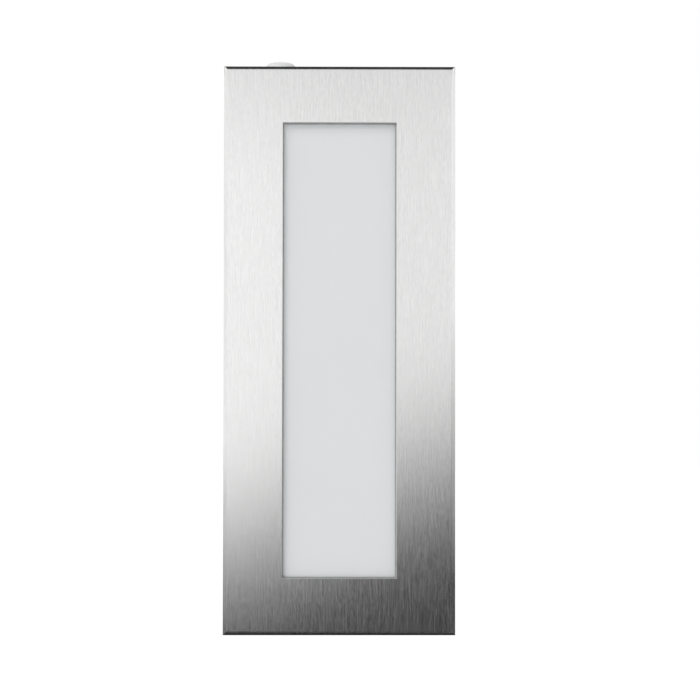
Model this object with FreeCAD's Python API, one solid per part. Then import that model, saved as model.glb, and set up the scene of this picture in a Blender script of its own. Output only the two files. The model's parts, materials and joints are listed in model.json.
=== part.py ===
import FreeCAD, Part

import math
import os

# Recessed step light for a masonry wall.
#
# A folded tray of brushed stainless sheet covers the light and frames a tall glass diffuser. The glass sits
# in a silicone channel, and a pressed retainer on welded studs clamps it to the back of the sheet. Four leaf
# springs under the stud nuts push into the mouth of a moulded housing and hold the whole cover by friction.
# The housing is let into the wall and screwed through its flange. It holds a gear tray with the LED board in
# front and the LED driver behind, a terminal block, a cable gland, and a plug in the spare cable entry.
#
# X runs across the light, Y from the room into the wall, and Z up. The wall's surface is the plane Y = 0, and
# the origin is the centre of the four wall fixings. All lengths are in millimetres.

V = FreeCAD.Vector
X_AXIS = V(1, 0, 0)
Y_AXIS = V(0, 1, 0)
Z_AXIS = V(0, 0, 1)
SIDES = (-1, 1)

# ---------------------------------------------------------------- driving dimensions

# Cover plate
PLATE_WIDTH = 110.0
PLATE_HEIGHT = 270.0
PLATE_PROJECTION = 10.0  # from the wall to the front of the plate
RIM_LIFT = 0.5  # gap between the rims and the wall
SHEET = 1.5
BEND_INNER_RADIUS = 0.5
SIDE_MARGIN = 28.0  # beside the window
END_MARGIN = 27.0  # above and below the window
WINDOW_EDGE_RADIUS = 0.15
SEAM_WIDTH = 0.3  # open seams of the folded corners
PRY_NOTCH_WIDTH = 14.0
PRY_NOTCH_HEIGHT = 2.2

# Glass and its silicone channel
GLASS_THICKNESS = 4.0
GLASS_LAP = 5.0  # glass hidden behind the plate on every side
GLASS_CORNER_RADIUS = 2.0
GLASS_ARRIS = 0.4  # ground edge of the glass
CHANNEL_LIP = 1.0
CHANNEL_WEB = 1.0
CHANNEL_BACK_LAP = 4.0
CHANNEL_SHOWS = 0.5  # how far the front lip shows inside the window

# Retainer, studs and nuts
FIT = 0.2  # clearance between pieces that locate each other
RETAINER_SHEET = 1.0
RETAINER_LAP = 3.0  # retainer over the back of the glass
RETAINER_BEND = 1.4
STUD_RADIUS = 1.5
STUD_EDGE = 3.4  # from a stud's axis to the edge of the retainer's foot
NUT_ACROSS_FLATS = 5.5
NUT_HEIGHT = 2.4
STUD_TAIL = 0.6  # stud past the nut
STUD_CHAMFER = 0.4
THREAD_CLEARANCE = 0.05  # between a screw and its hole
SCREW_END_GAP = 1.0  # screw's end short of the bottom of its hole

# Leaf springs
SPRING_FROM_END = 35.2  # spring's stud below the line of the upper studs
SPRING_THICKNESS = 0.5
SPRING_WIDTH = 14.0
SPRING_STANDOFF = 0.3  # spring's leg clear of the retainer
SPRING_BEND_RADIUS = 0.4  # inside the bend between foot and leg
SPRING_NUT_GAP = 0.05  # nut clear of that bend
SPRING_CREST_RADIUS = 5.0
SPRING_SLOPE_DEG = 14.0
SPRING_CREST_DEPTH = 10.0  # crest's distance behind the wall surface
SPRING_TAIL = 13.0  # from the crest to the free end
SPRING_WALL_GAP = 0.3  # crest clear of the housing's wall

# Housing
FLANGE_THICKNESS = 2.5
FLANGE_CLEARANCE = 1.0  # flange inside the plate's rims
FLANGE_CORNER_RADIUS = 3.0
HOUSING_WALL = 2.5
HOUSING_BACK = 3.0
HOUSING_DEPTH = 70.0  # from the wall surface to the back
HOUSING_DRAFT_DEG = 1.0
MOUTH_ROOM = 3.8  # mouth's wall outside the retainer's wall
MOUTH_CORNER_RADIUS = 6.0
BACK_EDGE_RADIUS = 3.0
LAND_CLEARANCE = 0.7  # sealing land outside the retainer's foot
LAND_WIDTH = 4.4
LAND_HEIGHT = 2.5
LAND_CORNER_RADIUS = 10.0
SEAL_WIDTH = 2.4
SEAL_GROOVE_DEPTH = 1.5
SEAL_EDGE_RADIUS = 0.7
SEAL_GAP = 0.2  # seal clear of the plate
FIXING_RADIUS = 2.25
FIXING_INSET_X = 5.5
FIXING_INSET_Z = 4.5
RIB_COUNT = 5  # evenly spread along each long side
RIB_PROUD = 1.6
RIB_THICKNESS = 2.0
RIB_START = 4.0  # ribs begin this far behind the flange
BACK_RIB_THICKNESS = 1.6  # ribs inside the back wall
BACK_RIB_HEIGHT = 2.5

# Gear tray
TRAY_FRONT = 30.0  # front of the tray behind the wall surface
TRAY_SHEET = 1.0
TRAY_FLANGE = 12.0
TRAY_SIDE_GAP = 4.0  # tray inside the housing's mouth, left and right
TRAY_END_GAP = 7.0
TRAY_CORNER_RADIUS = 3.0
TRAY_BEND = 1.4
TRAY_BOSS_SIDE_INSET = 9.0  # boss's axis inside the tray's side
TRAY_BOSS_END_INSET = 15.0
TRAY_BOSS_RADIUS = 4.0
TRAY_SCREW_RADIUS = 1.6
TRAY_SCREW_LENGTH = 12.0
GUSSET_THICKNESS = 1.6
GUSSET_CLEARANCE = 1.0  # gusset clear of the tray's flange

# LED board
BOARD_SIDE_INSET = 12.0  # board's edge inside the tray's side
BOARD_END_INSET = 16.0
BOARD_THICKNESS = 1.6
BOARD_CORNER_RADIUS = 1.5
LED_COLUMNS = 2
LED_ROWS = 12
LED_WIDTH = 3.5
LED_HEIGHT = 2.8
LED_THICKNESS = 0.8
LED_WELL_RADIUS = 1.1
LED_WELL_DEPTH = 0.15
BOARD_SCREW_RADIUS = 1.4
CONNECTOR_WIDTH = 9.0
CONNECTOR_LENGTH = 8.0
CONNECTOR_HEIGHT = 4.6
CONNECTOR_INSET = 0.5  # from the board's lower end
CONNECTOR_CORNER_RADIUS = 0.5
RELEASE_SLOT_WIDTH = 1.2
RELEASE_SLOT_LENGTH = 2.4
RELEASE_SLOT_DEPTH = 0.8

# LED driver
DRIVER_WIDTH = 34.0
DRIVER_LENGTH = 100.0
DRIVER_TO_TERMINAL = 48.0  # from the driver's upper end to the terminal block's centre
DRIVER_BASE_THICKNESS = 2.0
DRIVER_HEIGHT = 20.0
DRIVER_CORNER_RADIUS = 2.0
DRIVER_EDGE_RADIUS = 1.5
DRIVER_LUG_RADIUS = 4.5
DRIVER_LUG_GAP = 3.0  # lug clear of the tray's flange
DRIVER_LUG_INSET = 9.0  # lug's screw from the driver's end
DRIVER_SCREW_RADIUS = 1.6

# Terminal block
TERMINAL_POLES = 3
TERMINAL_PITCH = 12.0
TERMINAL_END_INSET = 34.0  # its centre below the tray's upper end
TERMINAL_LENGTH = 16.0
TERMINAL_HEIGHT = 14.0
TERMINAL_BASE_HEIGHT = 5.0
TERMINAL_TOWER_WIDTH = 9.0
TERMINAL_CORNER_RADIUS = 1.0
TERMINAL_BOSS_HEIGHT = 6.0
TERMINAL_BOSS_RADIUS = 3.2
CLAMP_RADIUS = 2.8
CLAMP_BORE_RADIUS = 1.8
CLAMP_END_GAP = 1.0
CLAMP_SCREW_RADIUS = 1.3
CLAMP_SCREW_OFFSET = 3.6
CLAMP_SCREW_SUNK = 1.0  # screw's head below the tower's top
CLAMP_SCREW_GRIP = 0.2  # screw's end left in the brass wall
CLAMP_SCREW_WELL = 0.6  # well's radius over the screw's
CLAMP_SLOT_WIDTH = 0.5
CLAMP_SLOT_DEPTH = 0.7
TERMINAL_SCREW_RADIUS = 1.3

# Leads inside the housing
MAINS_LEAD_RADIUS = 1.1
MAINS_LEAD_BEND = 12.0
MAINS_LEAD_SPREAD = 5.0  # each side of centre, at the driver
LED_LEAD_RADIUS = 0.8
LED_LEAD_BEND = 4.0
LED_LEAD_SPREAD = 1.9
LEAD_ENTRY = 1.5  # lead inside the hole that it enters
LEAD_CLEARANCE = 0.1
GROMMET_RADIUS = 4.0
GROMMET_BORE_RADIUS = 3.0
GROMMET_FLANGE = 1.4
GROMMET_LIP = 1.2
GROMMET_EDGE = 5.0  # grommet's centre from the board's end

# Cable entries, both in the housing's top wall
ENTRY_INSET = 8.0  # entry's axis inside the mouth's side
ENTRY_DEPTH = 48.0
ENTRY_RADIUS = 8.0
ENTRY_PAD_RADIUS = 9.6
ENTRY_PAD_PROUD = 1.5
ENTRY_PAD_INSIDE = 2.0
ENTRY_WASHER = 1.0
KNOCKOUT_INSET = 18.0  # the bottom wall's knock-outs, inside the mouth's sides
KNOCKOUT_END_INSET = 20.0  # the back wall's knock-outs, inside the mouth's ends
KNOCKOUT_GROOVE = 0.8
KNOCKOUT_DEPTH = 1.2

# Cable gland
GLAND_ACROSS_FLATS = 18.0
GLAND_HEX_HEIGHT = 5.0
GLAND_SHANK = 6.5
GLAND_BORE_RADIUS = 5.2
GLAND_NECK_RADIUS = 7.4
GLAND_NECK_HEIGHT = 9.0
GLAND_SEAL_RADIUS = 6.2
GLAND_SEAL_BORE_RADIUS = 4.4
GLAND_SEAL_HEIGHT = 12.0
DOME_GAP = 0.8  # dome nut above the gland's hexagon
DOME_HEX_HEIGHT = 10.0
DOME_HEIGHT = 8.3
DOME_MOUTH_RADIUS = 5.6
DOME_TOP_RADIUS = 7.2
DOME_EDGE_RADIUS = 2.8
PLUG_HEAD_HEIGHT = 2.6
PLUG_HEAD_BEVEL = 0.8
PLUG_SLOT = 2.0
PLUG_WEB = 1.0  # left between the plug's slot and its hollow shank, below the head

# Screw heads
HEAD_TO_SHANK = 1.85  # head's radius over the shank's
HEAD_HEIGHT_TO_SHANK = 1.2
RECESS_TO_SHANK = 0.9
RECESS_WIDTH_TO_SHANK = 0.44
RECESS_DEPTH_TO_HEAD = 0.6
HEAD_BEVEL_TO_HEAD = 0.45
END_BEVEL_TO_SHANK = 0.3

CHAMFER_SLOPE = 0.6  # drop over run where a hexagon's corners are turned off
OVER = 1.0  # how far a cutting solid runs past what it cuts

# ---------------------------------------------------------------- places worked out from them

FRONT_Y = -PLATE_PROJECTION
SKIN_Y = FRONT_Y + SHEET  # back of the plate's sheet
GLASS_FRONT_Y = SKIN_Y + CHANNEL_LIP
GLASS_BACK_Y = GLASS_FRONT_Y + GLASS_THICKNESS
CHANNEL_BACK_Y = GLASS_BACK_Y + CHANNEL_LIP
RETAINER_BACK_Y = CHANNEL_BACK_Y + RETAINER_SHEET
FOOT_Y = SKIN_Y + RETAINER_SHEET  # back of the retainer's foot

PLATE_HALF = (PLATE_WIDTH / 2, PLATE_HEIGHT / 2)
WINDOW_HALF = (PLATE_HALF[0] - SIDE_MARGIN, PLATE_HALF[1] - END_MARGIN)


def grown(half, by):
    """The half width and half height of a rectangle grown by so much on every side."""
    return (half[0] + by, half[1] + by)


GLASS_HALF = grown(WINDOW_HALF, GLASS_LAP)
CHANNEL_HALF = grown(GLASS_HALF, CHANNEL_WEB)
RETAINER_HALF = grown(CHANNEL_HALF, FIT + RETAINER_SHEET)
SPRING_ROOM = SPRING_STANDOFF + SPRING_THICKNESS + SPRING_BEND_RADIUS + SPRING_NUT_GAP
STUD_HALF = grown(RETAINER_HALF, SPRING_ROOM + NUT_ACROSS_FLATS / 2)
FOOT_HALF = grown(STUD_HALF, STUD_EDGE)
MOUTH_HALF = grown(RETAINER_HALF, MOUTH_ROOM)
LAND_INNER_HALF = grown(FOOT_HALF, LAND_CLEARANCE)
LAND_HALF = grown(LAND_INNER_HALF, LAND_WIDTH)
FLANGE_HALF = grown(PLATE_HALF, -SHEET - FLANGE_CLEARANCE)
FIXING_HALF = (FLANGE_HALF[0] - FIXING_INSET_X, FLANGE_HALF[1] - FIXING_INSET_Z)

DRAFT = math.tan(math.radians(HOUSING_DRAFT_DEG))
BACK_INNER_Y = HOUSING_DEPTH - HOUSING_BACK
BACK_MIDDLE_Y = HOUSING_DEPTH - HOUSING_BACK / 2  # inside the back wall, where posts and ribs are rooted
RIB_PITCH = 2 * MOUTH_HALF[1] / (RIB_COUNT + 1)
LAND_Y = -FLANGE_THICKNESS - LAND_HEIGHT
SEAL_FLOOR_Y = LAND_Y + SEAL_GROOVE_DEPTH

TRAY_BACK = TRAY_FRONT + TRAY_SHEET
TRAY_HALF = (MOUTH_HALF[0] - TRAY_SIDE_GAP, MOUTH_HALF[1] - TRAY_END_GAP)
TRAY_BOSS_HALF = (TRAY_HALF[0] - TRAY_BOSS_SIDE_INSET, TRAY_HALF[1] - TRAY_BOSS_END_INSET)
BOARD_Y = TRAY_FRONT - BOARD_THICKNESS
BOARD_HALF = (TRAY_HALF[0] - BOARD_SIDE_INSET, TRAY_HALF[1] - BOARD_END_INSET)
LED_COLUMN_PITCH = 2 * BOARD_HALF[0] / LED_COLUMNS
LED_ROW_PITCH = 2 * BOARD_HALF[1] / LED_ROWS
GROMMET_Z = -BOARD_HALF[1] - GROMMET_EDGE - GROMMET_FLANGE
CONNECTOR_LEAD_Y = BOARD_Y - CONNECTOR_HEIGHT / 2
CONNECTOR_BOTTOM_Z = -BOARD_HALF[1] + CONNECTOR_INSET

TERMINAL_Z = TRAY_HALF[1] - TERMINAL_END_INSET
DRIVER_TOP = TERMINAL_Z - DRIVER_TO_TERMINAL
DRIVER_BOTTOM = DRIVER_TOP - DRIVER_LENGTH
DRIVER_LEAD_Y = TRAY_BACK + DRIVER_HEIGHT / 2
TERMINAL_BACK_Y = BACK_INNER_Y - TERMINAL_BOSS_HEIGHT
TERMINAL_FRONT_Y = TERMINAL_BACK_Y - TERMINAL_HEIGHT
CLAMP_Y = TERMINAL_BACK_Y - TERMINAL_HEIGHT / 2
TERMINAL_BASE_Y = TERMINAL_BACK_Y - TERMINAL_BASE_HEIGHT
TERMINAL_OUTER_POLE = (TERMINAL_POLES - 1) * TERMINAL_PITCH / 2

ENTRY_X = MOUTH_HALF[0] - ENTRY_INSET
KNOCKOUT_X = MOUTH_HALF[0] - KNOCKOUT_INSET
KNOCKOUT_Z = MOUTH_HALF[1] - KNOCKOUT_END_INSET
ENTRY_WALL_Z = MOUTH_HALF[1] + HOUSING_WALL - ENTRY_DEPTH * DRAFT
ENTRY_PAD_Z = ENTRY_WALL_Z + ENTRY_PAD_PROUD
ENTRY_SEAT_Z = ENTRY_PAD_Z + ENTRY_WASHER
ENTRY_INNER_Z = ENTRY_WALL_Z - HOUSING_WALL - ENTRY_PAD_INSIDE

# Where the studs stand on the back of the plate: four hold springs, and four only the retainer.
SPRING_Z = STUD_HALF[1] - SPRING_FROM_END
SPRING_STUDS = [(sx * STUD_HALF[0], sz * SPRING_Z) for sx in SIDES for sz in SIDES]
PLAIN_STUDS = [(sx * STUD_HALF[0], 0.0) for sx in SIDES] + [(0.0, sz * STUD_HALF[1]) for sz in SIDES]


# ---------------------------------------------------------------- shapes that repeat


def rectangle(half, radius, y, centre=(0.0, 0.0)):
    """A closed rounded rectangle in the plane at y. half holds its half width and half height."""
    cx, cz = centre
    x, z = half
    if radius <= 0:
        corners = [V(cx - x, y, cz - z), V(cx + x, y, cz - z), V(cx + x, y, cz + z), V(cx - x, y, cz + z)]
        return Part.makePolygon(corners + corners[:1])
    edges = []
    slant = radius * (1 - math.sqrt(0.5))
    for sx, sz, along in ((1, -1, False), (1, 1, True), (-1, 1, False), (-1, -1, True)):
        flat = V(cx + sx * (x - radius), y, cz + sz * z)
        upright = V(cx + sx * x, y, cz + sz * (z - radius))
        middle = V(cx + sx * (x - slant), y, cz + sz * (z - slant))
        start, end = (upright, flat) if along else (flat, upright)
        edges.append(Part.Arc(start, middle, end).toShape())
    outline = []
    for k, arc in enumerate(edges):
        following = edges[(k + 1) % 4]
        outline += [arc, Part.LineSegment(arc.lastVertex().Point, following.firstVertex().Point).toShape()]
    return Part.Wire(outline)


def slab(half, radius, y0, y1, centre=(0.0, 0.0)):
    """A rounded rectangle's solid between two depths."""
    return Part.Face(rectangle(half, radius, y0, centre)).extrude(V(0, y1 - y0, 0))


def ring(outer, inner, outer_radius, inner_radius, y0, y1):
    """A rectangular ring between two depths."""
    return slab(outer, outer_radius, y0, y1).cut(slab(inner, inner_radius, y0 - OVER, y1 + OVER))


def box(x, y, z):
    """A box between three pairs of limits."""
    return Part.makeBox(x[1] - x[0], y[1] - y[0], z[1] - z[0], V(x[0], y[0], z[0]))


def pin_y(x, z, radius, y0, y1):
    """A cylinder along Y."""
    return Part.makeCylinder(radius, y1 - y0, V(x, y0, z), Y_AXIS)


def pin_z(x, y, radius, z0, z1):
    """A cylinder along Z."""
    return Part.makeCylinder(radius, z1 - z0, V(x, y, z0), Z_AXIS)


def hexagon(centre, across_flats, axis, height, flats_to):
    """A hexagonal prism from centre along axis, with two of its flats facing along flats_to."""
    corner = across_flats / math.sqrt(3)
    other = axis.cross(flats_to)
    points = []
    for k in range(6):
        a = math.radians(60 * k + 30)
        points.append(centre + flats_to * (corner * math.cos(a)) + other * (corner * math.sin(a)))
    return Part.Face(Part.makePolygon(points + points[:1])).extrude(axis * height)


def chamfered_hexagon(base, across_flats, axis, height, flats_to, ends):
    """A hexagonal prism whose corners are turned off at the ends named: 0 at its base, 1 at its top."""
    corner = across_flats / math.sqrt(3)
    flat = across_flats / 2
    drop = (corner - flat) * CHAMFER_SLOPE
    foot = [(flat, 0), (corner, drop)] if 0 in ends else [(corner, 0)]
    head = [(corner, height - drop), (flat, height)] if 1 in ends else [(corner, height)]
    envelope = turned([(0, 0)] + foot + head + [(0, height)], base, axis, flats_to)
    return hexagon(base, across_flats, axis, height, flats_to).common(envelope)


def turned(profile, origin, axis, outwards):
    """A solid turned from (radius, distance along axis) points."""
    points = [origin + outwards * r + axis * t for r, t in profile]
    return Part.Face(Part.makePolygon(points + points[:1])).revolve(origin, axis, 360)


def edges_in_plane(shape, axis, at):
    """The edges that lie in the plane where the coordinate along axis is at."""
    return [e for e in shape.Edges if all(abs(v.Point.dot(axis) - at) < 1e-4 for v in e.Vertexes)]


def corners_of(points, bends):
    """For each inner point of a route: where its arc starts, its middle, and where it ends."""
    arcs = []
    for before, here, after, bend in zip(points, points[1:], points[2:], bends):
        a = (before - here).normalize()
        b = (after - here).normalize()
        half_angle = a.getAngle(b) / 2
        reach = bend / math.tan(half_angle)
        centre = here + (a + b).normalize() * (bend / math.sin(half_angle))
        arcs.append((here + a * reach, centre + (here - centre).normalize() * bend, here + b * reach))
    return arcs


def path_edges(points, bends):
    """Straight runs joined by tangent arcs."""
    edges = []
    at = points[0]
    for start, middle, end in corners_of(points, bends):
        edges += [Part.LineSegment(at, start).toShape(), Part.Arc(start, middle, end).toShape()]
        at = end
    return edges + [Part.LineSegment(at, points[-1]).toShape()]


def lead(points, bend, radius):
    """A round lead along a route of straight runs joined by arcs."""
    path = Part.Wire(path_edges(points, [bend] * (len(points) - 2)))
    section = Part.Wire(Part.makeCircle(radius, points[0], points[1] - points[0]))
    return path.makePipeShell([section], True, False)


def strip(points, bends, thickness, along, width):
    """A strip of sheet bent along a route in one plane, as wide as given, centred on that plane."""
    sides = []
    for side in SIDES:
        offset_points, offset_bends = [], []
        runs = [(b - a).normalize() for a, b in zip(points, points[1:])]
        for k, point in enumerate(points):
            run_in = runs[max(k - 1, 0)]
            run_out = runs[min(k, len(runs) - 1)]
            normal_in = along.cross(run_in) * side
            normal_out = along.cross(run_out) * side
            mitre = normal_in + normal_out
            offset_points.append(point + mitre * (thickness / mitre.dot(normal_in) / 2))
            if 0 < k < len(points) - 1:
                inside = (run_out - run_in).dot(normal_in) > 0
                offset_bends.append(bends[k - 1] + (-thickness if inside else thickness) / 2)
        sides.append((offset_points, offset_bends))
    left, right = sides
    edges = path_edges(*left) + [Part.LineSegment(left[0][-1], right[0][-1]).toShape()]
    edges += path_edges(*right) + [Part.LineSegment(right[0][0], left[0][0]).toShape()]
    face = Part.Face(Part.Wire(Part.__sortEdges__(edges)))
    face.translate(along * (-width / 2))
    return face.extrude(along * width)


def screw(x, z, seat_y, radius, length):
    """A pan-head screw along Y with a cross recess. Its head is in front of seat_y."""
    head_radius = radius * HEAD_TO_SHANK
    head_height = radius * HEAD_HEIGHT_TO_SHANK
    bevel = head_height * HEAD_BEVEL_TO_HEAD
    end = radius * END_BEVEL_TO_SHANK
    profile = [
        (0, -head_height),
        (head_radius - bevel, -head_height),
        (head_radius, bevel - head_height),
        (head_radius, 0),
        (radius, 0),
        (radius, length - end),
        (radius - end, length),
        (0, length),
    ]
    body = turned(profile, V(x, seat_y, z), Y_AXIS, X_AXIS)
    recess = radius * RECESS_TO_SHANK
    slot = radius * RECESS_WIDTH_TO_SHANK / 2
    top = (seat_y - head_height - OVER, seat_y - head_height * (1 - RECESS_DEPTH_TO_HEAD))
    cross = box((x - recess, x + recess), top, (z - slot, z + slot))
    cross = cross.fuse(box((x - slot, x + slot), top, (z - recess, z + recess)))
    return body.cut(cross)


def group(solids):
    """Separate solids that share one node."""
    return Part.makeCompound(solids)


def mouth_at(depth):
    """The housing's inner half width and half height at a depth, after its draft."""
    return grown(MOUTH_HALF, -depth * DRAFT)


# ---------------------------------------------------------------- the cover


def folded(half, radius, y0, y1):
    """A block with its front edges rounded as sheet bends are, mitred at the corners."""
    rise = radius * (1 - math.sqrt(0.5))
    block = None
    directions = ((half[0], X_AXIS, Z_AXIS, half[1]), (half[1], Z_AXIS, X_AXIS, half[0]))
    for span, other, across, length in directions:
        p = {
            "back_left": other * -span + Y_AXIS * y1,
            "left": other * -span + Y_AXIS * (y0 + radius),
            "left_arc": other * (rise - span) + Y_AXIS * (y0 + rise),
            "front_left": other * (radius - span) + Y_AXIS * y0,
            "front_right": other * (span - radius) + Y_AXIS * y0,
            "right_arc": other * (span - rise) + Y_AXIS * (y0 + rise),
            "right": other * span + Y_AXIS * (y0 + radius),
            "back_right": other * span + Y_AXIS * y1,
        }
        profile = Part.Wire(
            [
                Part.LineSegment(p["back_left"], p["left"]).toShape(),
                Part.Arc(p["left"], p["left_arc"], p["front_left"]).toShape(),
                Part.LineSegment(p["front_left"], p["front_right"]).toShape(),
                Part.Arc(p["front_right"], p["right_arc"], p["right"]).toShape(),
                Part.LineSegment(p["right"], p["back_right"]).toShape(),
                Part.LineSegment(p["back_right"], p["back_left"]).toShape(),
            ]
        )
        profile.translate(across * -length)
        bar = Part.Face(profile).extrude(across * (2 * length))
        block = bar if block is None else block.common(bar)
    return block


def face_plate():
    """The brushed tray: a sheet with a window, four folded rims, open corner seams and a pry notch below."""
    outer_radius = BEND_INNER_RADIUS + SHEET
    plate = folded(PLATE_HALF, outer_radius, FRONT_Y, -RIM_LIFT)
    plate = plate.cut(folded(grown(PLATE_HALF, -SHEET), BEND_INNER_RADIUS, SKIN_Y, OVER))
    plate = plate.cut(slab(WINDOW_HALF, 0, FRONT_Y - OVER, SKIN_Y + OVER))
    front_edges = edges_in_plane(plate, Y_AXIS, FRONT_Y)
    window_edges = [e for e in front_edges if within(e, grown(WINDOW_HALF, FIT))]
    plate = plate.makeFillet(WINDOW_EDGE_RADIUS, window_edges)
    inner_x = PLATE_HALF[0] - SHEET
    for sx in SIDES:
        for sz in SIDES:
            x = sorted((sx * inner_x, sx * (inner_x - SEAM_WIDTH)))
            z = sorted((sz * (PLATE_HALF[1] - SHEET - OVER), sz * (PLATE_HALF[1] + OVER)))
            plate = plate.cut(box(x, (FRONT_Y + outer_radius, OVER), z))
    notch = box(
        (-PRY_NOTCH_WIDTH / 2, PRY_NOTCH_WIDTH / 2),
        (-RIM_LIFT - PRY_NOTCH_HEIGHT, OVER),
        (-PLATE_HALF[1] - OVER, -PLATE_HALF[1] + SHEET + OVER),
    )
    notch = notch.makeFillet(PRY_NOTCH_HEIGHT / 2, edges_along_z(notch, -RIM_LIFT - PRY_NOTCH_HEIGHT))
    return plate.cut(notch)


def within(edge, half):
    """Whether an edge lies inside a rectangle."""
    return all(abs(v.Point.x) < half[0] and abs(v.Point.z) < half[1] for v in edge.Vertexes)


def edges_along_z(shape, y):
    """The edges along Z that lie at a depth."""
    return [
        e
        for e in edges_in_plane(shape, Y_AXIS, y)
        if abs(e.Vertexes[0].Point.z - e.Vertexes[1].Point.z) > 1e-4
    ]


def diffuser_glass():
    """The glass panel, with ground edges."""
    glass = slab(GLASS_HALF, GLASS_CORNER_RADIUS, GLASS_FRONT_Y, GLASS_BACK_Y)
    rims = edges_in_plane(glass, Y_AXIS, GLASS_FRONT_Y) + edges_in_plane(glass, Y_AXIS, GLASS_BACK_Y)
    return glass.makeChamfer(GLASS_ARRIS, rims)


def glass_channel():
    """The silicone channel round the glass: a lip in front, a web, and a lip behind."""
    radius = GLASS_CORNER_RADIUS + CHANNEL_WEB
    channel = slab(CHANNEL_HALF, radius, SKIN_Y, CHANNEL_BACK_Y)
    mouth = grown(WINDOW_HALF, -CHANNEL_SHOWS)
    channel = channel.cut(slab(mouth, CHANNEL_SHOWS, SKIN_Y - OVER, GLASS_FRONT_Y + OVER))
    channel = channel.cut(slab(GLASS_HALF, GLASS_CORNER_RADIUS, GLASS_FRONT_Y, GLASS_BACK_Y))
    back = grown(GLASS_HALF, -CHANNEL_BACK_LAP)
    return channel.cut(slab(back, GLASS_CORNER_RADIUS, GLASS_BACK_Y - OVER, CHANNEL_BACK_Y + OVER))


def glass_retainer():
    """The pressed steel frame that clamps the glass: a foot on the plate, a wall, and a lip behind."""
    corner = GLASS_CORNER_RADIUS + CHANNEL_WEB + FIT
    pan = slab(RETAINER_HALF, corner + RETAINER_SHEET, SKIN_Y, RETAINER_BACK_Y)
    pan = pan.makeFillet(RETAINER_BEND, edges_in_plane(pan, Y_AXIS, RETAINER_BACK_Y))
    foot = slab(FOOT_HALF, corner + STUD_EDGE, SKIN_Y, FOOT_Y)
    frame = pan.fuse(foot)
    inside = slab(grown(CHANNEL_HALF, FIT), corner, SKIN_Y - OVER, CHANNEL_BACK_Y)
    frame = frame.cut(inside)
    mouth = grown(GLASS_HALF, -RETAINER_LAP)
    frame = frame.cut(slab(mouth, corner, CHANNEL_BACK_Y - OVER, RETAINER_BACK_Y + OVER))
    for x, z, _ in stud_seats():
        frame = frame.cut(pin_y(x, z, STUD_RADIUS + FIT, SKIN_Y - OVER, FOOT_Y + OVER))
    return frame


def stud_seats():
    """Every stud, with the depth at which its nut sits: on a spring's foot, or on the retainer's."""
    on_springs = [(x, z, FOOT_Y + SPRING_THICKNESS) for x, z in SPRING_STUDS]
    return on_springs + [(x, z, FOOT_Y) for x, z in PLAIN_STUDS]


def weld_studs():
    """The threaded studs welded to the back of the plate."""
    studs = []
    for x, z, seat in stud_seats():
        end = seat + NUT_HEIGHT + STUD_TAIL
        stud = pin_y(x, z, STUD_RADIUS, SKIN_Y, end)
        studs.append(stud.makeChamfer(STUD_CHAMFER, edges_in_plane(stud, Y_AXIS, end)))
    return group(studs)


def stud_nuts():
    """The hexagon nuts on the studs. Their flats face the springs."""
    nuts = []
    for x, z, seat in stud_seats():
        nut = chamfered_hexagon(V(x, seat, z), NUT_ACROSS_FLATS, Y_AXIS, NUT_HEIGHT, X_AXIS, (1,))
        thread = STUD_RADIUS + THREAD_CLEARANCE
        nuts.append(nut.cut(pin_y(x, z, thread, seat - OVER, seat + NUT_HEIGHT + OVER)))
    return group(nuts)


def leaf_spring(sx, sz):
    """One spring: a foot under the stud nut, and a leg that bows out to the housing's wall."""
    z = sz * SPRING_Z
    half = SPRING_THICKNESS / 2
    slope = math.radians(SPRING_SLOPE_DEG)
    leg_x = RETAINER_HALF[0] + SPRING_STANDOFF + half
    foot_y = FOOT_Y + half
    crest_x = mouth_at(SPRING_CREST_DEPTH)[0] - SPRING_WALL_GAP - half
    bow_x = crest_x + SPRING_CREST_RADIUS * (1 / math.cos(slope) - 1)
    bow_start_y = SPRING_CREST_DEPTH - (bow_x - leg_x) / math.tan(slope)
    route = [
        (FOOT_HALF[0] - FIT, foot_y),
        (leg_x, foot_y),
        (leg_x, bow_start_y),
        (bow_x, SPRING_CREST_DEPTH),
        (bow_x - SPRING_TAIL * math.tan(slope), SPRING_CREST_DEPTH + SPRING_TAIL),
    ]
    points = [V(sx * x, y, z) for x, y in route]
    bends = [SPRING_BEND_RADIUS + half, SPRING_CREST_RADIUS, SPRING_CREST_RADIUS]
    spring = strip(points, bends, SPRING_THICKNESS, Z_AXIS, SPRING_WIDTH)
    hole = pin_y(sx * STUD_HALF[0], z, STUD_RADIUS + FIT, foot_y - OVER, foot_y + OVER)
    return spring.cut(hole)


# ---------------------------------------------------------------- the housing


def drafted(half, radius, depth, edge_radius):
    """A block let into the wall, tapering with the draft, with its back edges rounded."""
    back = grown(half, -depth * DRAFT)
    block = Part.makeLoft([rectangle(half, radius, 0), rectangle(back, radius, depth)], True, True)
    return block.makeFillet(edge_radius, edges_in_plane(block, Y_AXIS, depth))


def boss(x, z, radius, front):
    """A post from the housing's back wall."""
    return pin_y(x, z, radius, front, BACK_MIDDLE_Y)


def gusset(sx, z):
    """A web that ties a tray boss to the side wall."""
    wall_front = mouth_at(TRAY_BACK)[0] + HOUSING_WALL / 2
    wall_back = mouth_at(BACK_INNER_Y)[0] + HOUSING_WALL / 2
    top = TRAY_BACK + TRAY_FLANGE + GUSSET_CLEARANCE
    boss_x = TRAY_BOSS_HALF[0]
    corners = [(boss_x, top), (wall_front, top), (wall_back, BACK_MIDDLE_Y), (boss_x, BACK_MIDDLE_Y)]
    points = [V(sx * x, y, z - GUSSET_THICKNESS / 2) for x, y in corners]
    return Part.Face(Part.makePolygon(points + points[:1])).extrude(V(0, 0, GUSSET_THICKNESS))


def rib_heights():
    """The heights of the ribs that run across."""
    return [(k - (RIB_COUNT - 1) / 2) * RIB_PITCH for k in range(RIB_COUNT)]


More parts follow.
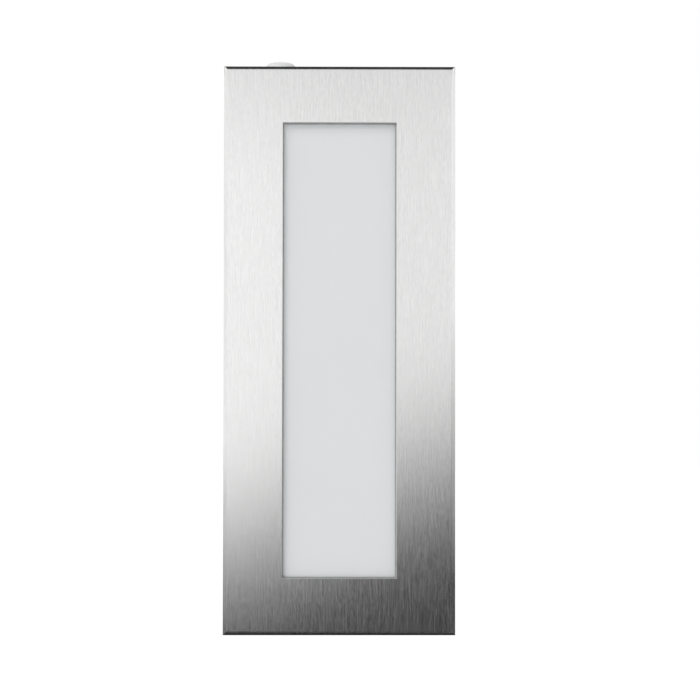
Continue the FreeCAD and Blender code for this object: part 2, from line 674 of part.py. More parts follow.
def outer_ribs():
    """Ribs round the outside that key the housing into the mortar and stiffen its walls."""
    outer = grown(MOUTH_HALF, HOUSING_WALL + RIB_PROUD)
    radius = MOUTH_CORNER_RADIUS + HOUSING_WALL + RIB_PROUD
    shell = drafted(outer, radius, HOUSING_DEPTH, BACK_EDGE_RADIUS + RIB_PROUD)
    reach = (outer[0] + OVER, outer[1] + OVER)
    depth = (RIB_START, HOUSING_DEPTH - BACK_EDGE_RADIUS - RIB_THICKNESS)
    half = RIB_THICKNESS / 2
    bands = [box((-reach[0], reach[0]), depth, (z - half, z + half)) for z in rib_heights()]
    bands.append(box((-half, half), depth, (-reach[1], reach[1])))
    return shell.common(bands[0].multiFuse(bands[1:]))


def back_ribs():
    """A ladder of ribs inside the back wall. Its sides run between the tray's bosses."""
    x, z = TRAY_BOSS_HALF
    half = BACK_RIB_THICKNESS / 2
    depth = (BACK_INNER_Y - BACK_RIB_HEIGHT, BACK_MIDDLE_Y)
    rails = [box((sx * x - half, sx * x + half), depth, (-z, z)) for sx in SIDES]
    return rails + [box((-x, x), depth, (rung - half, rung + half)) for rung in rib_heights()]


def housing_body():
    """The box itself, not yet hollow."""
    radius = MOUTH_CORNER_RADIUS + HOUSING_WALL
    return drafted(grown(MOUTH_HALF, HOUSING_WALL), radius, HOUSING_DEPTH, BACK_EDGE_RADIUS)


def housing_outside():
    """The box with its flange, sealing land, ribs and the pads of its cable entries."""
    flange = slab(FLANGE_HALF, FLANGE_CORNER_RADIUS, -FLANGE_THICKNESS, 0)
    land = slab(LAND_HALF, LAND_CORNER_RADIUS, LAND_Y, -FLANGE_THICKNESS)
    pad_foot = ENTRY_WALL_Z - MOUTH_CORNER_RADIUS - HOUSING_WALL
    pads = [pin_z(sx * ENTRY_X, ENTRY_DEPTH, ENTRY_PAD_RADIUS, pad_foot, ENTRY_PAD_Z) for sx in SIDES]
    return housing_body().multiFuse([flange, land, outer_ribs()] + pads)


def housing_hollows():
    """What is open: the box's inside, its mouth, the step inside the land, and the seal's groove."""
    return [
        drafted(MOUTH_HALF, MOUTH_CORNER_RADIUS, BACK_INNER_Y, BACK_EDGE_RADIUS),
        slab(MOUTH_HALF, MOUTH_CORNER_RADIUS, -FLANGE_THICKNESS - OVER, 0),
        slab(LAND_INNER_HALF, LAND_CORNER_RADIUS - LAND_WIDTH, LAND_Y - OVER, -FLANGE_THICKNESS),
        seal_track(LAND_Y - OVER, SEAL_FLOOR_Y, 0.0),
    ]


def housing_inside():
    """What stands inside the box: bosses, gussets, the back wall's ribs, and the entries' inner pads."""
    body = housing_body()
    made = [boss(x, z, TRAY_BOSS_RADIUS, TRAY_BACK) for x, z in tray_fixings()]
    made += [gusset(sx, sz * TRAY_BOSS_HALF[1]) for sx in SIDES for sz in SIDES]
    made += [boss(x, TERMINAL_Z, TERMINAL_BOSS_RADIUS, TERMINAL_BACK_Y) for x in terminal_fixings()]
    pads = [pin_z(sx * ENTRY_X, ENTRY_DEPTH, ENTRY_PAD_RADIUS, ENTRY_INNER_Z, ENTRY_WALL_Z) for sx in SIDES]
    return made + back_ribs() + [pad.common(body) for pad in pads]


def housing_holes():
    """The cable entries, the knock-outs, the wall fixings, and the screws' pilot holes."""
    inner, outer = ENTRY_INNER_Z - OVER, ENTRY_PAD_Z + OVER
    holes = [pin_z(sx * ENTRY_X, ENTRY_DEPTH, ENTRY_RADIUS, inner, outer) for sx in SIDES]
    holes += [knockout(V(sx * KNOCKOUT_X, ENTRY_DEPTH, -ENTRY_WALL_Z), V(0, 0, -1)) for sx in SIDES]
    holes += [knockout(V(0, HOUSING_DEPTH, sz * KNOCKOUT_Z), Y_AXIS) for sz in SIDES]
    x, z = FIXING_HALF
    for sx in SIDES:
        for sz in SIDES:
            holes.append(pin_y(sx * x, sz * z, FIXING_RADIUS, -FLANGE_THICKNESS - OVER, OVER))
    pilot = TRAY_SCREW_RADIUS + THREAD_CLEARANCE
    end = TRAY_FRONT + TRAY_SCREW_LENGTH + SCREW_END_GAP
    holes += [pin_y(x, z, pilot, TRAY_BACK - OVER, end) for x, z in tray_fixings()]
    pilot = TERMINAL_SCREW_RADIUS + THREAD_CLEARANCE
    holes += [pin_y(x, TERMINAL_Z, pilot, TERMINAL_BACK_Y - OVER, BACK_INNER_Y) for x in terminal_fixings()]
    return holes


def housing():
    """The moulded box with its flange, sealing land, bosses, cable entries and knock-outs."""
    solid = housing_outside()
    for hollow in housing_hollows():
        solid = solid.cut(hollow)
    solid = solid.multiFuse(housing_inside())
    holes = housing_holes()
    return solid.cut(holes[0].multiFuse(holes[1:])).removeSplitter()


def knockout(centre, outwards):
    """The round groove that lets a spare entry be knocked out, about a point on the wall's outside."""
    floor = centre - outwards * KNOCKOUT_DEPTH
    reach = KNOCKOUT_DEPTH + RIB_PROUD
    groove = Part.makeCylinder(ENTRY_RADIUS + KNOCKOUT_GROOVE, reach, floor, outwards)
    return groove.cut(Part.makeCylinder(ENTRY_RADIUS, reach + 2 * OVER, floor - outwards * OVER, outwards))


def seal_track(y0, y1, slack):
    """The ring that the cover seal follows in the land."""
    edge = (LAND_WIDTH - SEAL_WIDTH) / 2 + slack
    outer = grown(LAND_HALF, -edge)
    inner = grown(LAND_INNER_HALF, edge)
    return ring(outer, inner, LAND_CORNER_RADIUS - edge, LAND_CORNER_RADIUS - LAND_WIDTH + edge, y0, y1)


def cover_seal():
    """The silicone seal in the land's groove. The back of the cover plate closes on its rounded top."""
    top = SKIN_Y + SEAL_GAP
    seal = seal_track(top, SEAL_FLOOR_Y, THREAD_CLEARANCE)
    return seal.makeFillet(SEAL_EDGE_RADIUS, edges_in_plane(seal, Y_AXIS, top))


# ---------------------------------------------------------------- what the housing holds


def gear_tray():
    """The white steel tray: its flanges turn back, and its screws go into the housing's bosses."""
    end = TRAY_BACK + TRAY_FLANGE
    pan = slab(TRAY_HALF, TRAY_CORNER_RADIUS, TRAY_FRONT, end)
    pan = pan.makeFillet(TRAY_BEND, edges_in_plane(pan, Y_AXIS, TRAY_FRONT))
    inner = slab(grown(TRAY_HALF, -TRAY_SHEET), TRAY_CORNER_RADIUS - TRAY_SHEET, TRAY_BACK, end + OVER)
    inner = inner.makeFillet(TRAY_BEND - TRAY_SHEET, edges_in_plane(inner, Y_AXIS, TRAY_BACK))
    pan = pan.cut(inner)
    relief = TRAY_CORNER_RADIUS + TRAY_BEND
    holes = [tray_hole(x, z, TRAY_SCREW_RADIUS + FIT) for x, z in tray_fixings()]
    for sx in SIDES:
        for sz in SIDES:
            x = sorted((sx * (TRAY_HALF[0] - relief), sx * (TRAY_HALF[0] + OVER)))
            z = sorted((sz * (TRAY_HALF[1] - relief), sz * (TRAY_HALF[1] + OVER)))
            holes.append(box(x, (TRAY_BACK + TRAY_BEND, end + OVER), z))
    for z in board_screw_places():
        holes.append(tray_hole(0, z, BOARD_SCREW_RADIUS + THREAD_CLEARANCE))
    for x, z in driver_screw_places():
        holes.append(tray_hole(x, z, DRIVER_SCREW_RADIUS + THREAD_CLEARANCE))
    holes.append(tray_hole(0, GROMMET_Z, GROMMET_RADIUS + THREAD_CLEARANCE))
    return pan.cut(holes[0].multiFuse(holes[1:]))


def tray_fixings():
    """Where the tray is screwed to the housing's bosses."""
    x, z = TRAY_BOSS_HALF
    return [(sx * x, sz * z) for sx in SIDES for sz in SIDES]


def tray_hole(x, z, radius):
    """A hole through the tray's sheet."""
    return pin_y(x, z, radius, TRAY_FRONT - OVER, TRAY_BACK + OVER)


def tray_screws():
    """The four screws that hold the tray to the housing's bosses."""
    return group([screw(x, z, TRAY_FRONT, TRAY_SCREW_RADIUS, TRAY_SCREW_LENGTH) for x, z in tray_fixings()])


def board_screw_places():
    """The heights of the LED board's three screws: between rows of LEDs, in the middle and near the ends."""
    outer = BOARD_HALF[1] - LED_ROW_PITCH
    return (-outer, 0.0, outer)


def led_board():
    """The aluminium-core board."""
    board = slab(BOARD_HALF, BOARD_CORNER_RADIUS, BOARD_Y, TRAY_FRONT)
    for z in board_screw_places():
        board = board.cut(pin_y(0, z, BOARD_SCREW_RADIUS + FIT, BOARD_Y - OVER, TRAY_FRONT + OVER))
    return board


def led_places():
    """Where the LEDs stand on the board."""
    for column in range(LED_COLUMNS):
        for row in range(LED_ROWS):
            x = (column - (LED_COLUMNS - 1) / 2) * LED_COLUMN_PITCH
            yield x, (row - (LED_ROWS - 1) / 2) * LED_ROW_PITCH


def leds():
    """The LED packages, each with the shallow well of its phosphor."""
    front = BOARD_Y - LED_THICKNESS
    packages = []
    for x, z in led_places():
        package = slab((LED_WIDTH / 2, LED_HEIGHT / 2), 0, front, BOARD_Y, (x, z))
        packages.append(package.cut(pin_y(x, z, LED_WELL_RADIUS, front - OVER, front + LED_WELL_DEPTH)))
    return group(packages)


def board_screws():
    """The screws that hold the LED board to the tray."""
    length = BOARD_THICKNESS + TRAY_SHEET
    return group([screw(0, z, BOARD_Y, BOARD_SCREW_RADIUS, length) for z in board_screw_places()])


def board_connector():
    """The two-pole connector at the board's lower end. The leads enter it from below."""
    centre = (0.0, CONNECTOR_BOTTOM_Z + CONNECTOR_LENGTH / 2)
    half = (CONNECTOR_WIDTH / 2, CONNECTOR_LENGTH / 2)
    front = BOARD_Y - CONNECTOR_HEIGHT
    body = slab(half, CONNECTOR_CORNER_RADIUS, front, BOARD_Y, centre)
    for sx in SIDES:
        x = sx * LED_LEAD_SPREAD
        hole = LED_LEAD_RADIUS + LEAD_CLEARANCE
        entry_top = CONNECTOR_BOTTOM_Z + LEAD_ENTRY
        body = body.cut(pin_z(x, CONNECTOR_LEAD_Y, hole, CONNECTOR_BOTTOM_Z - OVER, entry_top))
        slot_x = (x - RELEASE_SLOT_WIDTH / 2, x + RELEASE_SLOT_WIDTH / 2)
        slot_z = (centre[1], centre[1] + RELEASE_SLOT_LENGTH)
        body = body.cut(box(slot_x, (front - OVER, front + RELEASE_SLOT_DEPTH), slot_z))
    return body


def wire_grommet():
    """The rubber grommet that takes the LED leads through the tray."""
    r, bore, flange = GROMMET_RADIUS, GROMMET_BORE_RADIUS, GROMMET_RADIUS + GROMMET_FLANGE
    profile = [
        (bore, -GROMMET_LIP),
        (flange, -GROMMET_LIP),
        (flange, 0),
        (r, 0),
        (r, TRAY_SHEET),
        (flange, TRAY_SHEET),
        (flange, TRAY_SHEET + GROMMET_LIP),
        (bore, TRAY_SHEET + GROMMET_LIP),
    ]
    return turned(profile, V(0, TRAY_FRONT, GROMMET_Z), Y_AXIS, X_AXIS)


def driver_screw_places():
    """The driver's two lugs stand at opposite corners."""
    x = TRAY_HALF[0] - TRAY_SHEET - DRIVER_LUG_GAP - DRIVER_LUG_RADIUS
    inset = DRIVER_LUG_INSET
    return ((x, DRIVER_BOTTOM + inset), (-x, DRIVER_TOP - inset))


def driver_base():
    """The driver's base plate, with a lug at each of two opposite corners."""
    centre = (0.0, DRIVER_TOP - DRIVER_LENGTH / 2)
    back = TRAY_BACK + DRIVER_BASE_THICKNESS
    base = slab((DRIVER_WIDTH / 2, DRIVER_LENGTH / 2), DRIVER_CORNER_RADIUS, TRAY_BACK, back, centre)
    for x, z in driver_screw_places():
        lug = pin_y(x, z, DRIVER_LUG_RADIUS, TRAY_BACK, back)
        web = box(sorted((0, x)), (TRAY_BACK, back), (z - DRIVER_LUG_RADIUS, z + DRIVER_LUG_RADIUS))
        base = base.fuse(lug).fuse(web)
    for x, z in driver_screw_places():
        base = base.cut(pin_y(x, z, DRIVER_SCREW_RADIUS + FIT, TRAY_BACK - OVER, back + OVER))
    return base.removeSplitter()


def driver_cover():
    """The driver's potted cover, with a hole for each lead."""
    centre = (0.0, DRIVER_TOP - DRIVER_LENGTH / 2)
    front = TRAY_BACK + DRIVER_BASE_THICKNESS
    back = TRAY_BACK + DRIVER_HEIGHT
    half = (DRIVER_WIDTH / 2 - FIT, DRIVER_LENGTH / 2 - FIT)
    cover = slab(half, DRIVER_CORNER_RADIUS, front, back, centre)
    cover = cover.makeFillet(DRIVER_EDGE_RADIUS, edges_in_plane(cover, Y_AXIS, back))
    top, bottom = DRIVER_TOP - FIT, DRIVER_BOTTOM + FIT
    mains_hole = MAINS_LEAD_RADIUS + LEAD_CLEARANCE
    led_hole = LED_LEAD_RADIUS + LEAD_CLEARANCE
    for sx in SIDES:
        mains_x, led_x = sx * MAINS_LEAD_SPREAD, sx * LED_LEAD_SPREAD
        cover = cover.cut(pin_z(mains_x, DRIVER_LEAD_Y, mains_hole, top - LEAD_ENTRY, top + OVER))
        cover = cover.cut(pin_z(led_x, DRIVER_LEAD_Y, led_hole, bottom - OVER, bottom + LEAD_ENTRY))
    return cover


def driver_screws():
    """The screws from the driver's lugs into the tray. Their heads are behind, so they are turned round."""
    screws = []
    seat = TRAY_BACK + DRIVER_BASE_THICKNESS
    for x, z in driver_screw_places():
        one = screw(x, z, 0, DRIVER_SCREW_RADIUS, DRIVER_BASE_THICKNESS + TRAY_SHEET)
        one.rotate(V(x, 0, z), Z_AXIS, 180)
        one.translate(V(0, seat, 0))
        screws.append(one)
    return group(screws)


def pole_places():
    """The terminal block's poles, from left to right."""
    return [(k - (TERMINAL_POLES - 1) / 2) * TERMINAL_PITCH for k in range(TERMINAL_POLES)]


def terminal_fixings():
    """The terminal block's fixing screws stand between its poles."""
    poles = pole_places()
    return [(a + b) / 2 for a, b in zip(poles, poles[1:])]


def terminal_block():
    """The terminal block's moulding: a base, and a tower with a bore for each pole."""
    centre = (0.0, TERMINAL_Z)
    width = (TERMINAL_POLES - 1) * TERMINAL_PITCH + TERMINAL_TOWER_WIDTH
    length = TERMINAL_LENGTH / 2
    corner = TERMINAL_CORNER_RADIUS
    solid = slab((width / 2, length), corner, TERMINAL_BASE_Y, TERMINAL_BACK_Y, centre)
    for x in pole_places():
        half = (TERMINAL_TOWER_WIDTH / 2, length)
        solid = solid.fuse(slab(half, corner, TERMINAL_FRONT_Y, TERMINAL_BACK_Y, (x, TERMINAL_Z)))
    low, high = TERMINAL_Z - length, TERMINAL_Z + length
    well = CLAMP_SCREW_RADIUS + CLAMP_SCREW_WELL
    for x in pole_places():
        solid = solid.cut(pin_z(x, CLAMP_Y, CLAMP_RADIUS, low + CLAMP_END_GAP, high - CLAMP_END_GAP))
        solid = solid.cut(pin_z(x, CLAMP_Y, CLAMP_BORE_RADIUS, low - OVER, high + OVER))
        for z in clamp_screw_places():
            solid = solid.cut(pin_y(x, z, well, TERMINAL_FRONT_Y - OVER, CLAMP_Y))
    shank = TERMINAL_SCREW_RADIUS + FIT
    head = TERMINAL_SCREW_RADIUS * HEAD_TO_SHANK + FIT
    for x in terminal_fixings():
        hole = pin_y(x, TERMINAL_Z, shank, TERMINAL_BASE_Y - OVER, TERMINAL_BACK_Y + OVER)
        recess = pin_y(x, TERMINAL_Z, head, TERMINAL_FRONT_Y - OVER, TERMINAL_BASE_Y)
        solid = solid.cut(hole.fuse(recess))
    return solid.removeSplitter()


def clamp_screw_places():
    """The heights of the two clamp screws of a pole."""
    return [TERMINAL_Z + sz * CLAMP_SCREW_OFFSET for sz in SIDES]


def terminal_clamps():
    """The brass tubes inside the poles."""
    low, high = TERMINAL_Z - TERMINAL_LENGTH / 2, TERMINAL_Z + TERMINAL_LENGTH / 2
    tubes = []
    for x in pole_places():
        outer = CLAMP_RADIUS - THREAD_CLEARANCE
        tube = pin_z(x, CLAMP_Y, outer, low + CLAMP_END_GAP, high - CLAMP_END_GAP)
        tube = tube.cut(pin_z(x, CLAMP_Y, CLAMP_BORE_RADIUS, low, high))
        for z in clamp_screw_places():
            thread = CLAMP_SCREW_RADIUS + THREAD_CLEARANCE
            tube = tube.cut(pin_y(x, z, thread, CLAMP_Y - CLAMP_RADIUS - OVER, CLAMP_Y))
        tubes.append(tube)
    return group(tubes)


def clamp_screws():
    """The slotted screws that clamp the wires in the brass tubes."""
    screws = []
    front = TERMINAL_FRONT_Y + CLAMP_SCREW_SUNK
    end = CLAMP_Y - CLAMP_BORE_RADIUS + CLAMP_SCREW_GRIP
    for x in pole_places():
        for z in clamp_screw_places():
            slot_x = (x - CLAMP_SCREW_RADIUS, x + CLAMP_SCREW_RADIUS)
            slot_z = (z - CLAMP_SLOT_WIDTH / 2, z + CLAMP_SLOT_WIDTH / 2)
            slot = box(slot_x, (front - OVER, front + CLAMP_SLOT_DEPTH), slot_z)
            screws.append(pin_y(x, z, CLAMP_SCREW_RADIUS, front, end).cut(slot))
    return group(screws)


def terminal_screws():
    """The screws that hold the terminal block to its bosses."""
    length = TERMINAL_BASE_HEIGHT + TERMINAL_BOSS_HEIGHT - SCREW_END_GAP
    places = terminal_fixings()
    return group([screw(x, TERMINAL_Z, TERMINAL_BASE_Y, TERMINAL_SCREW_RADIUS, length) for x in places])


def mains_lead(sx):
    """A lead from the driver's upper end to an outer pole of the terminal block."""
    x, pole_x = sx * MAINS_LEAD_SPREAD, sx * TERMINAL_OUTER_POLE
    pole_z = TERMINAL_Z - TERMINAL_LENGTH / 2
    rise = (pole_z - DRIVER_TOP) / 4
    points = [
        V(x, DRIVER_LEAD_Y, DRIVER_TOP - FIT - LEAD_ENTRY),
        V(x, DRIVER_LEAD_Y, DRIVER_TOP + rise),
        V(pole_x, CLAMP_Y, pole_z - rise),
        V(pole_x, CLAMP_Y, pole_z + CLAMP_END_GAP + LEAD_ENTRY),
    ]
    return lead(points, MAINS_LEAD_BEND, MAINS_LEAD_RADIUS)


def led_lead(sx):
    """A lead from the driver's lower end, through the grommet, up to the board's connector."""
    x = sx * LED_LEAD_SPREAD
    points = [
        V(x, DRIVER_LEAD_Y, DRIVER_BOTTOM + FIT + LEAD_ENTRY),
        V(x, DRIVER_LEAD_Y, GROMMET_Z),
        V(x, CONNECTOR_LEAD_Y, GROMMET_Z),
        V(x, CONNECTOR_LEAD_Y, CONNECTOR_BOTTOM_Z + LEAD_ENTRY),
    ]
    return lead(points, LED_LEAD_BEND, LED_LEAD_RADIUS)


# ---------------------------------------------------------------- the cable entries


def entry_origin(sx):
    """The centre of a cable entry, where the washer's top carries the gland or the plug."""
    return V(sx * ENTRY_X, ENTRY_DEPTH, ENTRY_SEAT_Z)


def entry_washer(sx):
    """The sealing washer on an entry's pad."""
    washer = pin_z(sx * ENTRY_X, ENTRY_DEPTH, GLAND_ACROSS_FLATS / 2, ENTRY_PAD_Z, ENTRY_SEAT_Z)
    return washer.cut(pin_z(sx * ENTRY_X, ENTRY_DEPTH, ENTRY_RADIUS, ENTRY_PAD_Z - OVER, ENTRY_SEAT_Z + OVER))


def gland_hexagon(base, height):
    """One of the gland's hexagons, from base above the washer."""
    origin = entry_origin(-1) + Z_AXIS * base
    return chamfered_hexagon(origin, GLAND_ACROSS_FLATS, Z_AXIS, height, Y_AXIS, (0, 1))


def gland_body():
    """The gland's body: a threaded shank, a hexagon and a neck."""
    origin = entry_origin(-1)
    shank = ENTRY_RADIUS - THREAD_CLEARANCE
    pocket = GLAND_SEAL_RADIUS + THREAD_CLEARANCE
    top = GLAND_HEX_HEIGHT + GLAND_NECK_HEIGHT
    core = turned(
        [
            (GLAND_BORE_RADIUS, -GLAND_SHANK),
            (shank, -GLAND_SHANK),
            (shank, 0),
            (GLAND_NECK_RADIUS, 0),
            (GLAND_NECK_RADIUS, top),
            (pocket, top),
            (pocket, GLAND_HEX_HEIGHT),
            (GLAND_BORE_RADIUS, GLAND_HEX_HEIGHT),
        ],
        origin,
        Z_AXIS,
        X_AXIS,
    )
    bore = pin_z(origin.x, origin.y, GLAND_BORE_RADIUS, origin.z - OVER, origin.z + top)
    return core.fuse(gland_hexagon(0.0, GLAND_HEX_HEIGHT).cut(bore))


def gland_seal():
    """The rubber insert that the dome nut squeezes round the cable."""
    base = GLAND_HEX_HEIGHT
    top = base + GLAND_SEAL_HEIGHT
    neck_top = base + GLAND_NECK_HEIGHT
    profile = [
        (GLAND_SEAL_BORE_RADIUS, base),
        (GLAND_SEAL_RADIUS, base),
        (GLAND_SEAL_RADIUS, neck_top),
        (GLAND_BORE_RADIUS, top),
        (GLAND_SEAL_BORE_RADIUS, top),
    ]
    return turned(profile, entry_origin(-1), Z_AXIS, X_AXIS)


def gland_dome_nut():
    """The dome nut on the gland's neck."""
    origin = entry_origin(-1)
    base = GLAND_HEX_HEIGHT + DOME_GAP
    shoulder = base + DOME_HEX_HEIGHT
    top = shoulder + DOME_HEIGHT
    seal_top = GLAND_HEX_HEIGHT + GLAND_SEAL_HEIGHT
    foot = GLAND_ACROSS_FLATS / 2 - FIT
    sunk = shoulder - OVER
    outline = [(0, sunk), (foot, sunk), (foot, shoulder), (DOME_TOP_RADIUS, top), (0, top)]
    dome = turned(outline, origin, Z_AXIS, X_AXIS)
    dome = dome.makeFillet(DOME_EDGE_RADIUS, edges_in_plane(dome, Z_AXIS, origin.z + top))
    bore = GLAND_NECK_RADIUS + THREAD_CLEARANCE
    inside = turned(
        [
            (0, base - OVER),
            (bore, base - OVER),
            (bore, GLAND_HEX_HEIGHT + GLAND_NECK_HEIGHT + FIT),
            (DOME_MOUTH_RADIUS, seal_top + FIT),
            (DOME_MOUTH_RADIUS, top + OVER),
            (0, top + OVER),
        ],
        origin,
        Z_AXIS,
        X_AXIS,
    )
    return gland_hexagon(base, DOME_HEX_HEIGHT).fuse(dome).cut(inside)


def blanking_plug():
    """The screwed plug in the spare entry, with a slot for a coin."""
    origin = entry_origin(1)
    head = pin_z(origin.x, origin.y, GLAND_ACROSS_FLATS / 2, origin.z, origin.z + PLUG_HEAD_HEIGHT)
    head = head.makeChamfer(PLUG_HEAD_BEVEL, edges_in_plane(head, Z_AXIS, origin.z + PLUG_HEAD_HEIGHT))
    shank = pin_z(origin.x, origin.y, ENTRY_RADIUS - THREAD_CLEARANCE, origin.z - GLAND_SHANK, origin.z)
    hollow = pin_z(origin.x, origin.y, GLAND_BORE_RADIUS, origin.z - GLAND_SHANK - OVER, origin.z - PLUG_WEB)
    half = GLAND_ACROSS_FLATS / 2
    top = origin.z + PLUG_HEAD_HEIGHT
    slot = box(
        (origin.x - half, origin.x + half),
        (origin.y - PLUG_SLOT / 2, origin.y + PLUG_SLOT / 2),
        (top - PLUG_HEAD_HEIGHT / 2, top + OVER),
    )
    return head.fuse(shank).cut(hollow).cut(slot)


# ---------------------------------------------------------------- the assembly


def side_name(sx, sz):
    """What a person would call the place of one of four."""
    return f"{'upper' if sz > 0 else 'lower'}_{'right' if sx > 0 else 'left'}"


def pieces():
    """Every node's name and shape."""
    made = {
        "face_plate": face_plate(),
        "weld_studs": weld_studs(),
        "stud_nuts": stud_nuts(),
        "diffuser_glass": diffuser_glass(),
        "glass_channel": glass_channel(),
        "glass_retainer": glass_retainer(),
        "housing": housing(),
        "cover_seal": cover_seal(),
        "gear_tray": gear_tray(),
        "tray_screws": tray_screws(),
        "led_board": led_board(),
        "leds": leds(),
        "board_screws": board_screws(),
        "board_connector": board_connector(),
        "wire_grommet": wire_grommet(),
        "driver_base": driver_base(),
        "driver_cover": driver_cover(),
        "driver_screws": driver_screws(),
        "terminal_block": terminal_block(),
        "terminal_clamps": terminal_clamps(),
        "clamp_screws": clamp_screws(),
        "terminal_screws": terminal_screws(),
        "live_lead": mains_lead(-1),
        "neutral_lead": mains_lead(1),
        "led_lead_positive": led_lead(-1),
        "led_lead_negative": led_lead(1),
        "gland_washer": entry_washer(-1),
        "gland_body": gland_body(),
        "gland_seal": gland_seal(),
        "gland_dome_nut": gland_dome_nut(),
        "plug_washer": entry_washer(1),
        "blanking_plug": blanking_plug(),
    }
    for sx in SIDES:
        for sz in SIDES:
            made[f"leaf_spring_{side_name(sx, sz)}"] = leaf_spring(sx, sz)
    return made


def main():
    os.makedirs("parts", exist_ok=True)
    for name, shape in pieces().items():
        shape.exportStep(f"parts/{name}.step")
        solids = shape.Solids
        good = all(s.isValid() and s.Volume > 0 for s in solids)
        print(f"{name}: {len(solids)} solid(s), {shape.Volume:.1f} mm3{'' if good else ', NOT VALID'}")


main()
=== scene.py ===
import json
import math

import bmesh
import bpy
from mathutils import Matrix, Vector


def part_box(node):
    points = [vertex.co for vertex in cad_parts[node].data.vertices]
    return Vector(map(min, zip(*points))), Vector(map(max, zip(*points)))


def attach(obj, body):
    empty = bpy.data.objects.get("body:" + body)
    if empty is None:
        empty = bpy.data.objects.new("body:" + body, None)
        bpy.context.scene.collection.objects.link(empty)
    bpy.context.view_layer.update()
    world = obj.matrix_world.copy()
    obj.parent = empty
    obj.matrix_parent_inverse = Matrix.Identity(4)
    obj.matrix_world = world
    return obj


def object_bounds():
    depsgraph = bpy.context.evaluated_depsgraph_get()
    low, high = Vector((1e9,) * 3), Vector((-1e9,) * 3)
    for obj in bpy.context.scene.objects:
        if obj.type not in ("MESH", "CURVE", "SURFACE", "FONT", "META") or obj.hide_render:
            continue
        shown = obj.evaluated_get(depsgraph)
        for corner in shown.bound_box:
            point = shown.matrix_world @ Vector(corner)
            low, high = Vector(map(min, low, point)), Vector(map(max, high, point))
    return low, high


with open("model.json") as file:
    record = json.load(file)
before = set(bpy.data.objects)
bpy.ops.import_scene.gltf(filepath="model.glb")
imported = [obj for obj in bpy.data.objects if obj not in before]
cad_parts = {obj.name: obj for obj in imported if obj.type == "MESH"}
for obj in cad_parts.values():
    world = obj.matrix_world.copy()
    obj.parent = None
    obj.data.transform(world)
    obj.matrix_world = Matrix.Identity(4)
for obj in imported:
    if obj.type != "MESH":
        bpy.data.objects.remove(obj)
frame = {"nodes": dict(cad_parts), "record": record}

# Looks for a recessed stainless step light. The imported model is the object; this script gives every piece its
# finish, adds the fine detail that the solids leave out, and sets up the camera and the studio.
# Everything is in metres, with X to the right, Y into the wall and Z up.

CAD_LOW, CAD_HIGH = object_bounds()
NODES = frame["nodes"]
MM = 0.001
SIDES = (-1, 1)  # left and right

# ---------------------------------------------------------------- sizes of the fine detail

LED_COLUMNS = 2
LED_ROWS = 12
LED_HALF = (1.75 * MM, 1.40 * MM)  # half the package along X and Z
DOME_RADIUS = 1.05 * MM  # clear of the well's wall
DOME_FOOT = 0.14 * MM  # below the package's face
DOME_RISE = 0.34 * MM
DOME_RINGS = 6
DOME_SIDES = 28
SOLDER_REACH = 0.70 * MM  # out from the package, at the board
SOLDER_TOP = 0.15 * MM  # and at the fillet's upper edge
SOLDER_RISE = 0.45 * MM
SOLDER_HALF = 1.10 * MM
TRACK_HALF = 1.20 * MM
TRACK_GAP = 0.90 * MM  # from the LED or the connector
TRACK_RISE = 0.07 * MM
TRACK_BEVEL = 0.12 * MM
CONTACT_X = 1.90 * MM  # each side of the middle of the connector
CONTACT_HALF = 0.45 * MM
CONTACT_Z = (0.30 * MM, 2.10 * MM)  # above the middle of the connector
CONTACT_FOOT = 0.80 * MM  # behind the connector's face
CONTACT_RISE = 0.45 * MM
CONTACT_BEVEL = 0.15 * MM

# ---------------------------------------------------------------- looks of the materials that repeat

# By name, which is that of the record's slot wherever there is one. Cells are the patches of a pattern.
METALS = {
    "zinc_steel": dict(colour=(0.72, 0.735, 0.75), roughness=0.34, cells=9 * MM),
    "spring_steel": dict(colour=(0.50, 0.50, 0.495), roughness=0.28, cells=16 * MM),
    "screw_zinc": dict(colour=(0.76, 0.765, 0.76), roughness=0.26, cells=2 * MM),
    "brass": dict(colour=(0.83, 0.66, 0.36), roughness=0.24, cells=3 * MM),
    "solder": dict(colour=(0.74, 0.745, 0.74), roughness=0.24, cells=0.5 * MM),
}
PLASTICS = {
    "housing_grey": dict(colour=(0.56, 0.57, 0.57), roughness=0.46, cells=0.45 * MM, depth=0.05 * MM),
    "led_package": dict(colour=(0.88, 0.88, 0.86), roughness=0.38, cells=0.2 * MM, depth=0.005 * MM),
    "connector_white": dict(colour=(0.84, 0.83, 0.79), roughness=0.36, cells=0.3 * MM, depth=0.01 * MM),
    "driver_base_grey": dict(colour=(0.055, 0.056, 0.058), roughness=0.5, cells=0.3 * MM, depth=0.02 * MM),
    "driver_white": dict(colour=(0.78, 0.78, 0.77), roughness=0.42, cells=0.3 * MM, depth=0.02 * MM),
    "terminal_natural": dict(colour=(0.78, 0.76, 0.68), roughness=0.33, cells=0.5 * MM, depth=0.01 * MM),
    "gland_grey": dict(colour=(0.76, 0.77, 0.77), roughness=0.4, cells=0.3 * MM, depth=0.02 * MM),
}
SCATTERING = {"led_package": 0.1, "connector_white": 0.1, "terminal_natural": 0.3}  # of the light inside
COATINGS = {
    "tray_white": dict(colour=(0.82, 0.82, 0.80), cells=1.3 * MM),
    "board_white": dict(colour=(0.86, 0.865, 0.85), cells=0.5 * MM),
    "track_mask": dict(colour=(0.77, 0.775, 0.76), cells=0.4 * MM),
}
LEADS = {
    "lead_brown": (0.17, 0.075, 0.035),
    "lead_blue": (0.035, 0.13, 0.42),
    "lead_red": (0.52, 0.035, 0.03),
    "lead_black": (0.022, 0.022, 0.024),
}
LEAD_SHEATH = dict(roughness=0.36, cells=0.8 * MM, depth=0.01 * MM)

# ---------------------------------------------------------------- camera and studio sizes

